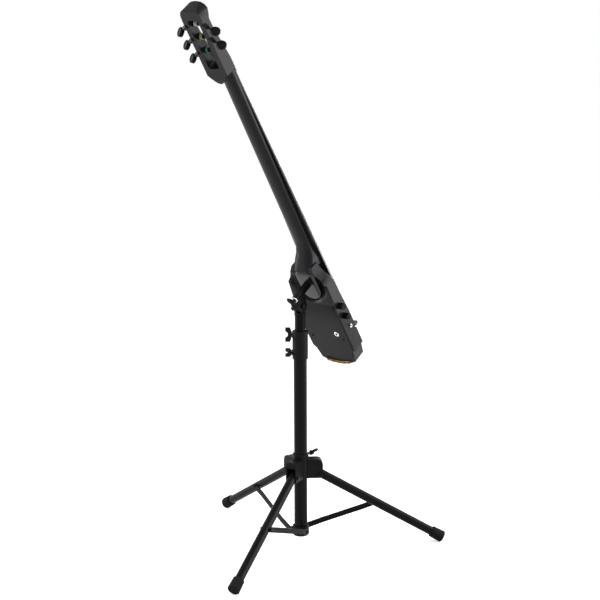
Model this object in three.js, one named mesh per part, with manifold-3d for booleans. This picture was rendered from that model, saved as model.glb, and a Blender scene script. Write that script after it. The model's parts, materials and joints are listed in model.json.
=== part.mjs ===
// Electric cello on its folding tripod stand. Millimetres, +Z up.
// The cello's own frame: x towards the treble side, y towards the back, z towards the head,
// with its origin where the middle string crosses the bridge. The tripod's frame: the pole is
// the z axis and the floor is z = 0.

import * as THREE from 'three';
import { mergeVertices } from 'three/addons/utils/BufferGeometryUtils.js';
import Module from 'manifold-3d';

const wasm = await Module();
wasm.setup();

// Clearances
const seatGap = 0.3;
const runGap = 0.3;
const cutOverrun = 3;
const weldDistance = 0.001;

// Facets round a circle
const largeSides = 26;
const mediumSides = 14;
const smallSides = 10;
const stringSides = 6;
const silkTurnSteps = 12;
const curveSteps = 4;

// Pose of the cello on the stand
const tiltAngle = THREE.MathUtils.degToRad(33.3);
const tiltPivotHeight = 562;
const tiltPivotBack = 107;
const tiltPivotAlong = 130;

// Strings
const stringLength = 690;
const stringRadii = [0.5, 0.6, 0.75, 0.9, 1.1];
const bridgeSpacing = 14.3;
const nutSpacing = 5.6;
const bridgeArchRadius = 80;
const stringTurns = 2.5;
const silkRadius = 0.7;
const silkTurnGap = 0.45;
const leastSilkGap = 0.4;
const silkEntries = [7.6, 5.6, 3.4, -4.4, -6.6];
const ballRadius = 2.4;
const stringFrontClearance = 2.5;

// Body
const bodyFront = 31;
const bodyBack = 72;
const bodyEdgeRound = 3;
const neckFlareHalfWidth = 24;
const neckFlareTop = 222;
const flareControlHalfWidth = 30;
const flareControlAlong = 180;
const bodyTop = 200;
const shoulderHalfWidth = 56;
const shoulderAlong = 154;
const shoulderBack = 59.5;
const boutHalfWidth = 62;
const boutAlong = 60;
const lowerHalfWidth = 61;
const lowerAlong = -35.5;
const stepHalfWidth = 54;
const stepAlong = -43;
const tailCornerHalfWidth = 48;
const tailCornerAlong = -71;
const tailEnd = -84;
const backBendStart = 45;
const boutBackFall = 2;
const boutBackAlong = 76;
const coverTopBack = 64.5;
const coverTopAlong = 100;
const dishHalfWidth = 58;
const dishHalfHeight = 52;
const dishDepth = 30;
const dishCentreBack = 75;
const dishCentreAlong = 150;

// Control bay in the body
const bayHalfWidth = 40;
const bayBottom = -25;
const bayMiddle = 12;
const bayTop = 90;
const bayFront = 42;
const potBayOuter = 48;
const potBayInner = 34;
const potBayTop = 98.4;
const potBayFront = 44.6;
const potBayBack = 60.5;

// Neck
const neckPastNut = 14;
const neckTop = stringLength + neckPastNut;
const neckTopHalfWidth = 17.3;
const nutNeckBack = 24;
const neckRootAlong = 250;
const neckRootHalfWidth = 20;
const neckRootBack = 31;
const heelFaceTopAlong = 212;
const heelFaceTopHalfWidth = 24.5;
const heelFaceTopBack = 47.5;
const heelBottomAlong = 188;
const heelHalfWidth = 26;
const heelBack = 61.5;
const neckMiddleShare = 0.5;
const neckArcSteps = 14;
const neckSideShare = 0.3;

// Way along, then how far the half width and the back have moved there
const heelSectionShares = [[0.15, 0, 0], [0.5, 0, 0.4]];
const humpSectionShares = [[0.3, 0.6, 0.55], [0.6, 0.9, 0.86]];

// Fingerboard and nut
const boardNutHalfWidth = 17.8;
const boardEndHalfWidth = 36;
const boardEndAlong = 95;
const boardNutTop = 2.4;
const boardEndTop = 7.5;
const boardNutUnder = 8.5;
const boardEndUnder = 18;
const boardArchRadius = 80;
const nutLength = 5.5;

// Headstock, its places along it counted from the nut's near face
const headHalfWidth = 27;
const headCornerHalfWidth = 27.7;
const headCornerAlong = 14.3;
const headBack = 41.5;
const chinAlong = -7;
const chinBack = 43.5;
const chinRootAlong = 1;
const headFront = 10;
const headFrontStart = 26;
const headWaistFront = 21;
const headWaistAlong = 121;
const headWaistEnd = 138;
const headTopBackAlong = 165;
const headTipAlong = 172;
const headTipFront = 11;
const headTipUnderAlong = 158;
const headTipHalfWidth = 3;
const headShoulderAlong = 146;
const headEdgeRound = 2;
const chinFlatShare = 0.5;
const slotHalfWidth = 14.5;
const slotBottom = 30;
const slotTop = 145;
const slotCorner = 6;

// Tuners, their places counted from the nut in the same way
const keyBack = 39;
const keyAngle = THREE.MathUtils.degToRad(30.3);
const trebleKeyPlaces = [66, 98, 129];
const bassKeyPlaces = [99, 131];
const keyReach = 23.8;
const keyShaftRadius = 2.1;
const keyShaftInside = 6;
const keyBossRadius = 5.6;
const keyBossReach = 5.5;
const keyCollarRadius = 3.9;
const keyCollarLength = 2.6;
const keyDiscRadius = 10.3;
const keyDiscThickness = 9;
const keyDiscRound = 2.4;
const trebleKeyTurn = THREE.MathUtils.degToRad(-35);
const postBack = 25;
const postRadius = 5;
const postJournalRadius = 2.8;
const postJournalLength = 6;
const postMiddleGap = 1.2;

// Bridge
const bridgeHalfWidth = 44;
const bridgeCrownHalfWidth = 33;
const bridgeHalfLength = 6;
const bridgeCrownHalfLength = 1.2;
const bridgeArchHalfWidth = 17;
const bridgeArchRise = 8;
const bridgeShoulderShare = 0.75;
const bridgeTaperShare = 0.3;

// String anchor at the tail
const anchorAlong = -76;
const anchorHalfWidth = 34;
const anchorHalfHeight = 4;
const anchorThickness = 2.4;
const anchorArchRise = 3.6;
const stringHoleRadius = 1.6;

// Back cover and its screws
const coverInset = 5;
const coverThickness = 2.5;
const coverBottom = -66;
const coverScrewRadius = 2.6;
const coverScrewHead = 1.2;
const coverScrewTopShare = 0.8;
const coverScrewShank = 1.2;
const coverScrewDepth = 8;
const lowerScrewX = 45;
const lowerScrewAlong = 0;
const upperScrewX = 51;
const upperScrewAlong = 94;

// Controls on the bass side
const knobRadius = 7.5;
const knobLength = 12;
const knobEdge = 1.2;
const knobShaftRadius = 3;
const controlBack = 52.7;
const volumeAlong = 91.5;
const toneAlong = 62;
const potRadius = 6;
const potLength = 7;
const boardThickness = 1.6;
const toggleBack = 49;
const toggleAlong = 28;
const toggleBushRadius = 3;
const toggleNutRadius = 4.6;
const toggleNutLength = 2;
const toggleBodyLength = 9;
const toggleBodyHalf = 4;
const leverBallRadius = 2;
const leverLength = 10;
const leverRootRadius = 0.9;
const leverTipRadius = 1.5;

// Output jack
const jackX = -33.7;
const jackAlong = 18;
const jackFlangeRadius = 6.6;
const jackFlangeLength = 2;
const jackBarrelRadius = 4.8;
const jackBarrelLength = 20;
const jackBoreRadius = 3.4;
const jackBoreDepth = 17;

// Mount block and the arm that holds it
const blockHalfWidth = 27;
const blockTop = 186.6;
const blockRoundCentre = 132;
const blockFront = 41;
const blockBack = 61;
const blockEdgeRound = 3;
const mountScrewAlong = 153.5;
const mountScrewRadius = 3;
const mountScrewHeadRadius = 5;
const mountScrewHeadLength = 3;
const mountScrewEngagement = 12;
const ferruleRadius = 7.3;
const ferruleLength = 2;
const armBack = 112;
const armHalfWidth = 7.5;
const armHalfHeight = 6.5;
const armCorner = 3;
const knuckleRadius = 14;
const knuckleWidth = 8;
const knuckleGap = 0.4;
const armWebBackShare = 0.6;
const armWebRiseShare = 0.4;
const armWebFrontShare = 1.6;

// Tilt joint on top of the sliding tube
const cheekWidth = 10.6;
const tiltBaseRadius = 13;
const tiltBaseRise = 6;
const baseWebShare = 0.9;
const tiltSpigotLength = 20;
const tiltSpigotRadius = 10.2;
const tiltBoltRadius = 3;
const tiltBoltHeadRadius = 6;
const tiltBoltHeadLength = 3.5;
const tiltBoltThread = 9;

// Wing handles
const wingHubRadius = 6;
const wingHubLength = 3;
const wingThickness = 6;
const wingSpan = 34;
const wingWaist = 12;
const wingDepth = 11.5;
const wingHubOverlap = 3;
const wingShankRadius = 2.8;
const tubeScrewTurn = THREE.MathUtils.degToRad(35);
const sleeveScrewTurn = THREE.MathUtils.degToRad(75);
const wingHubTopShare = 0.7;
const wingShoulderShare = 0.25;
const wingTopShare = 0.26;
const wingSaddleShare = 0.62;

// Sliding tube and clamp sleeve
const innerTubeRadius = 12;
const innerTubeWall = 1.5;
const innerTubeDrop = 21;
const innerTubeTop = tiltPivotHeight - innerTubeDrop;
const guideBushRadius = 13.1;
const guideBushLength = 14;
const sleeveRadius = 17.5;
const sleeveDrop = 56;
const sleeveLength = 64;
const sleeveTop = tiltPivotHeight - sleeveDrop;
const sleeveBottom = sleeveTop - sleeveLength;
const innerTubeHidden = 142;
const innerTubeBottom = sleeveBottom - innerTubeHidden;
const sleeveBossRadius = 7;
const sleeveBossReach = 18.6;
const tubeScrewInset = 9;
const tubeScrewHeight = sleeveTop - tubeScrewInset;
const sleeveScrewInset = 14;
const sleeveScrewHeight = sleeveBottom + sleeveScrewInset;
const sleeveScrewAngle = THREE.MathUtils.degToRad(39.5);

// Centre tube, collar and hub
const tubeRadius = 15;
const tubeWall = 1.6;
const tubeBottom = 30;
const tubeTopInset = 22;
const tubeTop = sleeveTop - tubeTopInset;
const collarRadius = 19;
const collarBottom = 27;
const collarTop = 50;
const collarFloor = 3;
const collarLugRadius = 7;
const collarRound = 3;
const collarDrainRadius = 1.6;
const strutRoot = 12;
const strutRootHeight = 40;
const legPivotHeight = 175;
const hubRadius = 19;
const hubBelowPivot = 10;
const hubAbovePivot = 34;
const hubBottom = legPivotHeight - hubBelowPivot;
const hubTop = legPivotHeight + hubAbovePivot;
const hubRingRadius = 18.2;
const hubRingLength = 12;
const hubRingTop = hubTop + hubRingLength;
const lugReach = 50;
const lugHalfWidth = 13;
const lugRound = 13;
const lugRoof = 8;
const lugSlotStart = 25;
const hubScrewAngle = THREE.MathUtils.degToRad(264);
const hubScrewInset = 5.5;
const hubScrewHeight = hubRingTop - hubScrewInset;
const hubScrewStand = 14;
const hubWingSpan = 23;
const hubScrewTurn = THREE.MathUtils.degToRad(50);
const hubBoltRadius = 3;
const hubBoltHeadRadius = 4.6;
const hubBoltHeadLength = 2.4;
const hubBoltTopShare = 0.75;

// Legs, feet and struts
const legAngles = [223.7, 343.7, 103.7].map((degrees) => THREE.MathUtils.degToRad(degrees));
const legSlope = THREE.MathUtils.degToRad(29.8);
const legPivotRadius = 42;
const legRadius = 10;
const legWall = 1.4;
const legInnerEnd = 10;
const footRadius = 14;
const footLeast = 12.8;
const footChamfer = 1.5;
const footLength = 29;
const footTip = 6;
const footPlugLength = 14;
const footFacet = 0.5;
const strutLegDistance = 155.6;
const strutHeight = 12;
const strutThickness = 3;
const strutBendLength = 100;
const strutBendEnd = 34;
const rivetRadius = 3.6;
const rivetLength = 2;
const rivetTopShare = 0.8;

// Surface colours: colour, roughness, metalness
const finishes = {
  lacquer: [0x2b2b30, 0.3, 0],
  blackWood: [0x17171a, 0.45, 0],
  blackMetal: [0x2a2a2d, 0.4, 0.5],
  blackPlastic: [0x1b1b1d, 0.55, 0],
  rubber: [0x151515, 0.85, 0],
  chrome: [0xd8dadd, 0.15, 1],
  steel: [0x9a9ca0, 0.3, 0.9],
  brass: [0xb98a3e, 0.35, 0.9],
  board: [0x2f5a3a, 0.6, 0],
  boneBlack: [0x101012, 0.4, 0],
};

// Every node has a material of its own.
function coat(kind) {
  const [color, roughness, metalness] = finishes[kind];
  return new THREE.MeshStandardMaterial({ color, roughness, metalness });
}

const at = (x, y, z) => new THREE.Vector3(x, y, z);

// A closed geometry as a solid for joins and cuts.
function solid(geometry) {
  const bare = geometry.clone();
  bare.deleteAttribute('normal');
  bare.deleteAttribute('uv');
  const merged = mergeVertices(bare, weldDistance);
  const corners = merged.index.array;
  const kept = [];
  for (let i = 0; i < corners.length; i += 3) {
    const [a, b, c] = [corners[i], corners[i + 1], corners[i + 2]];
    if (a !== b && b !== c && c !== a) kept.push(a, b, c);
  }
  return new wasm.Manifold(new wasm.Mesh({
    numProp: 3,
    vertProperties: new Float32Array(merged.attributes.position.array),
    triVerts: new Uint32Array(kept),
  }));
}

const join = (first, ...others) => others.reduce((sum, other) => sum.add(other), first);
const cut = (base, ...tools) => tools.reduce((rest, tool) => rest.subtract(tool), base);
const common = (first, ...others) => others.reduce((rest, other) => rest.intersect(other), first);

// Adds a solid to a group as a named mesh.
function addNode(parent, name, shape, kind) {
  const mesh = shape.getMesh();
  const geometry = new THREE.BufferGeometry();
  geometry.setAttribute('position', new THREE.BufferAttribute(mesh.vertProperties, mesh.numProp));
  geometry.setIndex(new THREE.BufferAttribute(mesh.triVerts, 1));
  geometry.computeVertexNormals();
  const node = new THREE.Mesh(geometry, coat(kind));
  node.name = name;
  parent.add(node);
}

// A round bar between two points, tapered if the end radius differs.
function rod(start, end, radius, sides = mediumSides, endRadius = radius) {
  const along = end.clone().sub(start);
  const geometry = new THREE.CylinderGeometry(endRadius, radius, along.length(), sides);
  const turn = new THREE.Quaternion().setFromUnitVectors(at(0, 1, 0), along.clone().normalize());
  geometry.applyQuaternion(turn);
  const middle = start.clone().add(end).multiplyScalar(0.5);
  geometry.translate(middle.x, middle.y, middle.z);
  return solid(geometry);
}

// A block between two opposite corners.
function block(low, high) {
  const size = high.clone().sub(low);
  const middle = low.clone().add(high).multiplyScalar(0.5);
  const geometry = new THREE.BoxGeometry(size.x, size.y, size.z);
  geometry.translate(middle.x, middle.y, middle.z);
  return solid(geometry);
}

// An outline pushed from 0 to a depth, its edges rounded by a bevel.
function pushed(shape, depth, round, steps) {
  return new THREE.ExtrudeGeometry(shape, {
    depth: depth - 2 * round,
    bevelEnabled: round > 0,
    bevelThickness: round,
    bevelSize: round,
    bevelOffset: -round,
    bevelSegments: steps,
    curveSegments: curveSteps,
  }).translate(0, 0, round);
}

// An outline in x and z, pushed along y.
function plateY(shape, yMin, yMax, round = 0, steps = 2) {
  const geometry = pushed(shape, yMax - yMin, round, steps);
  geometry.rotateX(Math.PI / 2);
  geometry.translate(0, yMax, 0);
  return solid(geometry);
}

// An outline in y and z, pushed along x.
function plateX(shape, xMin, xMax, round = 0, steps = 2) {
  const geometry = pushed(shape, xMax - xMin, round, steps);
  geometry.applyMatrix4(new THREE.Matrix4().makeBasis(at(0, 1, 0), at(0, 0, 1), at(1, 0, 0)));
  geometry.translate(xMin, 0, 0);
  return solid(geometry);
}

// An outline in x and y, pushed along z.
function plateZ(shape, zMin, zMax, round = 0, steps = 2) {
  const geometry = pushed(shape, zMax - zMin, round, steps);
  geometry.translate(0, 0, zMin);
  return solid(geometry);
}

const outline = (points) => new THREE.Shape(points.map(([a, b]) => new THREE.Vector2(a, b)));

// A round section turned about the z axis; the profile is pairs of radius and height.
function turned(profile, sides) {
  const points = profile.map(([radius, height]) => new THREE.Vector2(radius, height));
  const geometry = new THREE.LatheGeometry(points, sides);
  geometry.rotateX(Math.PI / 2);
  return geometry;
}

// Rings of points, counterclockwise and rising, skinned into a closed solid.
function loft(rings) {
  const count = rings[0].length;
  const positions = rings.flat().flatMap((point) => [point.x, point.y, point.z]);
  const faces = [];
  for (let level = 0; level < rings.length - 1; level += 1) {
    for (let i = 0; i < count; i += 1) {
      const next = (i + 1) % count;
      const low = level * count;
      const high = low + count;
      faces.push(low + i, low + next, high + next, low + i, high + next, high + i);
    }
  }
  for (const [level, outwards] of [[0, false], [rings.length - 1, true]]) {
    const centre = rings[level].reduce((sum, point) => sum.add(point), at(0, 0, 0));
    centre.multiplyScalar(1 / count);
    const hub = positions.length / 3;
    positions.push(centre.x, centre.y, centre.z);
    for (let i = 0; i < count; i += 1) {
      const here = level * count + i;
      const next = level * count + ((i + 1) % count);
      faces.push(hub, outwards ? here : next, outwards ? next : here);
    }
  }
  const geometry = new THREE.BufferGeometry();
  geometry.setAttribute('position', new THREE.Float32BufferAttribute(positions, 3));
  geometry.setIndex(faces);
  return solid(geometry);
}

const blend = THREE.MathUtils.lerp;

// Height of an arch below its crown, at a distance from its middle.
const archFall = (radius, across) => radius - Math.sqrt(radius * radius - across * across);

// A slotted outline with round ends, in the plane of its two coordinates.
function roundedBox(halfWidth, low, high, corner) {
  const shape = new THREE.Shape();
  shape.moveTo(-halfWidth + corner, low);
  shape.lineTo(halfWidth - corner, low);
  shape.absarc(halfWidth - corner, low + corner, corner, -Math.PI / 2, 0);
  shape.lineTo(halfWidth, high - corner);
  shape.absarc(halfWidth - corner, high - corner, corner, 0, Math.PI / 2);
  shape.lineTo(-halfWidth + corner, high);
  shape.absarc(-halfWidth + corner, high - corner, corner, Math.PI / 2, Math.PI);
  shape.lineTo(-halfWidth, low + corner);
  shape.absarc(-halfWidth + corner, low + corner, corner, Math.PI, Math.PI * 1.5);
  return shape;
}

// A wing handle turned by hand: a shank and a hub along +z from the tip, and a flat wing
// across the hub, its long way along the given side direction x.
function wingHandle(tip, hubStart, span) {
  const hubEnd = hubStart + wingHubLength;
  const shank = rod(at(0, 0, tip), at(0, 0, hubStart + wingHubOverlap), wingShankRadius, smallSides);
  const hub = rod(at(0, 0, hubStart), at(0, 0, hubEnd + wingHubOverlap), wingHubRadius, mediumSides,
    wingHubRadius * wingHubTopShare);
  const low = hubEnd - wingHubOverlap;
  const high = hubEnd + wingDepth;
  const right = [
    [wingWaist / 2, low], [span / 2, blend(low, high, wingShoulderShare)], [span / 2, high],
    [span * wingTopShare, high], [wingWaist / 3, blend(low, high, wingSaddleShare)],
  ];
  const left = right.map(([x, z]) => [-x, z]).reverse();
  const wing = outline([...right, ...left]);
  const blade = plateY(wing, -wingThickness / 2, wingThickness / 2, wingThickness / 5, 1);
  return join(shank, hub, blade);
}

// A solid moved by a rotation of three axes and a place.
function set(shape, xAxis, yAxis, zAxis, place) {
  const mesh = shape.getMesh();
  const geometry = new THREE.BufferGeometry();
  geometry.setAttribute('position', new THREE.BufferAttribute(mesh.vertProperties, mesh.numProp));
  geometry.setIndex(new THREE.BufferAttribute(mesh.triVerts, 1));
  geometry.applyMatrix4(new THREE.Matrix4().makeBasis(xAxis, yAxis, zAxis).setPosition(place));
  return solid(geometry);
}

// The cello turns about the tilt pivot, and the stand keeps the pole on the z axis.
const model = new THREE.Group();
const stand = new THREE.Group();
const tilted = new THREE.Group();
const cello = new THREE.Group();
tilted.position.set(0, 0, tiltPivotHeight);
tilted.rotation.x = -tiltAngle;
cello.position.set(0, -tiltPivotBack, -tiltPivotAlong);
tilted.add(cello);
model.add(stand, tilted);

// Body half width between the shoulder and the lower corner
function bodyHalfAt(along) {
  if (along > boutAlong) {
    const share = (along - boutAlong) / (shoulderAlong - boutAlong);
    return blend(boutHalfWidth, shoulderHalfWidth, share);
  }
  return blend(lowerHalfWidth, boutHalfWidth, (along - lowerAlong) / (boutAlong - lowerAlong));
}

// Body outline seen from the back
function bodyOutline() {
  const shape = new THREE.Shape();
  shape.moveTo(neckFlareHalfWidth, neckFlareTop);
  shape.quadraticCurveTo(flareControlHalfWidth, flareControlAlong, shoulderHalfWidth, shoulderAlong);
  shape.lineTo(boutHalfWidth, boutAlong);
  shape.lineTo(lowerHalfWidth, lowerAlong);
  shape.quadraticCurveTo(stepHalfWidth, lowerAlong, stepHalfWidth, stepAlong);
  shape.lineTo(tailCornerHalfWidth, tailCornerAlong);
  shape.quadraticCurveTo(tailCornerHalfWidth / 2, tailEnd, 0, tailEnd);
  shape.quadraticCurveTo(-tailCornerHalfWidth / 2, tailEnd, -tailCornerHalfWidth, tailCornerAlong);
  shape.lineTo(-stepHalfWidth, stepAlong);
  shape.quadraticCurveTo(-stepHalfWidth, lowerAlong, -lowerHalfWidth, lowerAlong);
  shape.lineTo(-boutHalfWidth, boutAlong);
  shape.lineTo(-shoulderHalfWidth, shoulderAlong);
  shape.quadraticCurveTo(-flareControlHalfWidth, flareControlAlong, -neckFlareHalfWidth, neckFlareTop);
  return shape;
}

// The back's line from the tail to above the cover, as pairs of back and along
const backLine = [
  [bodyBack, tailEnd - cutOverrun],
  [bodyBack, backBendStart],
  [bodyBack - boutBackFall, boutBackAlong],
  [coverTopBack, coverTopAlong],
  [shoulderBack, shoulderAlong],
];

// Back cover outline, grown by a gap for its rebate
function coverOutline(gap) {
  const halfAt = (along) => bodyHalfAt(along) - coverInset + gap;
  const stepX = stepHalfWidth - coverInset + gap;
  const tailX = tailCornerHalfWidth - coverInset + gap;
  const right = [
    [halfAt(coverTopAlong), coverTopAlong + gap],
    [halfAt(boutAlong), boutAlong],
    [halfAt(lowerAlong), lowerAlong],
    [stepX, stepAlong],
    [tailX, coverBottom + gap],
    [tailX - gap, coverBottom - gap],
  ];
  const left = right.map(([x, z]) => [-x, z]).reverse();
  return outline([...right, ...left]);
}

// A skin just under the back's line
function backSkin(thickness, rise) {
  const outer = backLine.map(([back, along]) => [back + rise, along]);
  const inner = backLine.map(([back, along]) => [back - thickness, along]).reverse();
  return plateX(outline([...outer, ...inner]), -boutHalfWidth - cutOverrun, boutHalfWidth + cutOverrun);
}

// Underside and top of the fingerboard, and its half width, along its length
const boardShare = (along) => (stringLength - along) / (stringLength - boardEndAlong);
const boardUnder = (along) => blend(boardNutUnder, boardEndUnder, boardShare(along));
const boardTop = (along) => blend(boardNutTop, boardEndTop, boardShare(along));
const boardHalf = (along) => blend(boardNutHalfWidth, boardEndHalfWidth, boardShare(along));

// Neck sections: place along, half width, back, and how square the back is
const neckSections = [
  [heelBottomAlong, heelHalfWidth, heelBack, 5],
  ...heelSectionShares.map(([way, , fall], i) => [
    blend(heelBottomAlong, heelFaceTopAlong, way), heelHalfWidth,
    blend(heelBack, heelFaceTopBack, fall), [5, 4.5][i],
  ]),
  [heelFaceTopAlong, heelFaceTopHalfWidth, heelFaceTopBack, 3.6],
  ...humpSectionShares.map(([way, narrowing, fall], i) => [
    blend(heelFaceTopAlong, neckRootAlong, way),
    blend(heelFaceTopHalfWidth, neckRootHalfWidth, narrowing),
    blend(heelFaceTopBack, neckRootBack, fall), [3, 2.5][i],
  ]),
  [neckRootAlong, neckRootHalfWidth, neckRootBack, 2.2],
  [blend(neckRootAlong, stringLength, neckMiddleShare),
    blend(neckRootHalfWidth, neckTopHalfWidth, neckMiddleShare),
    blend(neckRootBack, nutNeckBack, neckMiddleShare), 2.2],
  [stringLength, neckTopHalfWidth, nutNeckBack, 2.2],
  [neckTop, neckTopHalfWidth, nutNeckBack, 2.2],
];

// One section of the neck: a flat front and a rounded back, grown by a gap
function neckRing([along, half, back, power], gap) {
  const front = boardUnder(along) + seatGap - gap;
  const middle = blend(front, back, neckSideShare);
  const ring = [at(-half - gap, front, along), at(half + gap, front, along)];
  for (let i = 0; i <= neckArcSteps; i += 1) {
    const angle = (i / neckArcSteps) * Math.PI;
    const cos = Math.cos(angle);
    const across = Math.sign(cos) * Math.abs(cos) ** (2 / power);
    const out = Math.abs(Math.sin(angle)) ** (2 / power);
    ring.push(at((half + gap) * across, middle + (back + gap - middle) * out, along));
  }
  return ring;
}

function neckSolid(gap) {
  const rings = neckSections.map((section) => neckRing(section, gap));
  rings[0].forEach((point) => point.setZ(point.z - gap));
  return loft(rings);
}

// String places across the bridge, nut and anchor
const stringOrder = stringRadii.map((radius, i) => 2 - i);
const bridgeX = (order) => order * bridgeSpacing;
const nutX = (order) => order * nutSpacing;
const anchorFall = (x) => anchorArchRise * (x / (2 * bridgeSpacing)) ** 2;

// Mount block outline, grown by a gap
function blockOutline(gap) {
  const half = blockHalfWidth + gap;
  const corner = 2 * blockEdgeRound;
  const shape = new THREE.Shape();
  shape.moveTo(half, blockTop + gap - corner);
  shape.absarc(half - corner, blockTop + gap - corner, corner, 0, Math.PI / 2);
  shape.lineTo(-half + corner, blockTop + gap);
  shape.absarc(-half + corner, blockTop + gap - corner, corner, Math.PI / 2, Math.PI);
  shape.lineTo(-half, blockRoundCentre);
  shape.absarc(0, blockRoundCentre, half, Math.PI, Math.PI * 2);
  return shape;
}

// A bore along y
function boreY(x, along, radius, yMin, yMax, sides = smallSides) {
  return rod(at(x, yMin, along), at(x, yMax, along), radius, sides);
}

const screwPlaces = [
  [lowerScrewX, lowerScrewAlong], [-lowerScrewX, lowerScrewAlong],
  [upperScrewX, upperScrewAlong], [-upperScrewX, upperScrewAlong],
];

// Where the back's line stands at a place along it
function backAt(along) {
  const upper = backLine.findIndex(([, place]) => place >= along);
  const [backHigh, high] = backLine[upper];
  const [backLow, low] = backLine[upper - 1];
  return blend(backLow, backHigh, (along - low) / (high - low));
}

function makeBody() {
  const slab = plateY(bodyOutline(), bodyFront, bodyBack, bodyEdgeRound, 1);
  const side = plateX(outline([
    [bodyFront - cutOverrun, tailEnd - cutOverrun],
    ...backLine,
    [heelBack, heelBottomAlong],
    [heelFaceTopBack, heelFaceTopAlong],
    [bodyFront - cutOverrun, heelFaceTopAlong],
  ]), -boutHalfWidth - cutOverrun, boutHalfWidth + cutOverrun);
  const topCut = block(at(-boutHalfWidth, 0, bodyTop),
    at(boutHalfWidth, bodyBack + cutOverrun, neckFlareTop + cutOverrun));
  const ball = new THREE.SphereGeometry(1, largeSides, mediumSides);
  ball.scale(dishHalfWidth, dishDepth, dishHalfHeight);
  ball.translate(0, dishCentreBack, dishCentreAlong);
  const bays = join(
    block(at(-bayHalfWidth, bayFront, bayBottom), at(bayHalfWidth, bodyBack, bayTop)),
    block(at(-potBayOuter, potBayFront, bayMiddle), at(-potBayInner, potBayBack, potBayTop)),
  );
  const rebate = common(plateY(coverOutline(seatGap), bodyFront, bodyBack + cutOverrun),
    backSkin(coverThickness + seatGap, cutOverrun));
  const holes = [];
  for (const order of stringOrder) {
    const x = bridgeX(order);
    const along = anchorAlong + anchorFall(x);
    holes.push(boreY(x, along, stringHoleRadius, bodyFront - cutOverrun, bodyBack + cutOverrun));
  }
  for (const [x, along] of screwPlaces) {
    const deep = backAt(along) - coverScrewDepth - seatGap;
    holes.push(boreY(x, along, coverScrewShank + seatGap, deep, bodyBack + cutOverrun));
  }
  const wallX = -boutHalfWidth - cutOverrun;
  for (const along of [volumeAlong, toneAlong]) {
    holes.push(rod(at(wallX, controlBack, along), at(-potBayOuter + cutOverrun, controlBack, along),
      knobShaftRadius + runGap));
  }
  holes.push(rod(at(wallX, toggleBack, toggleAlong), at(-potBayOuter + cutOverrun, toggleBack, toggleAlong),
    toggleBushRadius + seatGap));
  const blockPocket = plateY(blockOutline(seatGap), blockFront - seatGap, bodyBack);
  return cut(common(slab, side), topCut, solid(ball), bays, rebate, blockPocket,
    neckSolid(seatGap), ...holes);
}

function makeFingerboard() {
  const steps = 10;
  const ringAt = (along) => {
    const half = boardHalf(along);
    const ring = [at(-half, boardUnder(along), along), at(half, boardUnder(along), along)];
    for (let i = 0; i <= steps; i += 1) {
      const x = half - (2 * half * i) / steps;
      ring.push(at(x, boardTop(along) + archFall(boardArchRadius, x), along));
    }
    return ring.reverse();
  };
  return loft([ringAt(boardEndAlong), ringAt(stringLength - seatGap)]);
}

// Headstock: two cheeks either side of a slot, with a boss and a bore for each key
function makeHead() {
  const shape = new THREE.Shape();
  shape.moveTo(-headCornerHalfWidth, headCornerAlong);
  shape.quadraticCurveTo(-headCornerHalfWidth / 3, chinAlong, 0, chinAlong);
  shape.quadraticCurveTo(headCornerHalfWidth / 3, chinAlong, headCornerHalfWidth, headCornerAlong);
  shape.lineTo(headHalfWidth, headShoulderAlong);
  shape.quadraticCurveTo(headHalfWidth, headTipAlong, headTipHalfWidth, headTipAlong);
  shape.lineTo(-headTipHalfWidth, headTipAlong);
  shape.quadraticCurveTo(-headHalfWidth, headTipAlong, -headHalfWidth, headShoulderAlong);
  const slab = plateY(shape, headFront, chinBack, headEdgeRound, 1);
  const pastNut = [0, 0, stringLength];
  const neckSide = nutNeckBack + seatGap;
  const side = plateX(outline([
    [headFront, headCornerAlong],
    [neckSide, headCornerAlong],
    [neckSide, chinRootAlong],
    [chinBack, chinAlong - seatGap],
    [chinBack, blend(chinAlong, headFrontStart, chinFlatShare)],
    [headBack, headFrontStart],
    [headBack, headTopBackAlong],
    [headTipFront, headTipAlong],
    [headTipFront, headTipUnderAlong],
    [headWaistFront, headWaistEnd],
    [headWaistFront, headWaistAlong],
    [headFront, headFrontStart],
  ]), -headCornerHalfWidth - cutOverrun, headCornerHalfWidth + cutOverrun);
  const slot = plateY(roundedBox(slotHalfWidth, slotBottom, slotTop, slotCorner),
    -cutOverrun, chinBack + cutOverrun);
  const bosses = keys.map(({ base, outward }) => rod(
    base.clone().addScaledVector(outward, -keyBossReach),
    base.clone().addScaledVector(outward, keyBossReach), keyBossRadius, smallSides));
  const keyBores = keys.map(({ base, outward }) => rod(
    base.clone().addScaledVector(outward, -keyShaftInside - seatGap),
    base.clone().addScaledVector(outward, keyBossReach + cutOverrun), keyShaftRadius + runGap,
    smallSides));
  const postBores = keys.flatMap(({ side: hand, along, wide }) => {
    const reach = slotHalfWidth + postJournalLength + seatGap;
    const inner = wide ? -reach : slotHalfWidth - cutOverrun;
    return [rod(at(hand * inner, postBack, along), at(hand * reach, postBack, along),
      postJournalRadius + runGap, smallSides)];
  });
  const cheeks = common(slab, side).translate(pastNut);
  return cut(join(cheeks, ...bosses), slot.translate(pastNut), ...keyBores, ...postBores);
}

// Keys in the order of the strings they tune: side (+1 treble), place along and axis
const keys = [
  ...trebleKeyPlaces.map((place) => ({ side: 1, place })),
  ...[...bassKeyPlaces].reverse().map((place) => ({ side: -1, place })),
].map(({ side, place }) => ({
  side,
  along: stringLength + place,
  wide: place === trebleKeyPlaces[0],
  base: at(side * headHalfWidth, keyBack, stringLength + place),
  outward: at(side * Math.cos(keyAngle), 0, -Math.sin(keyAngle)),
}));

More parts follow.
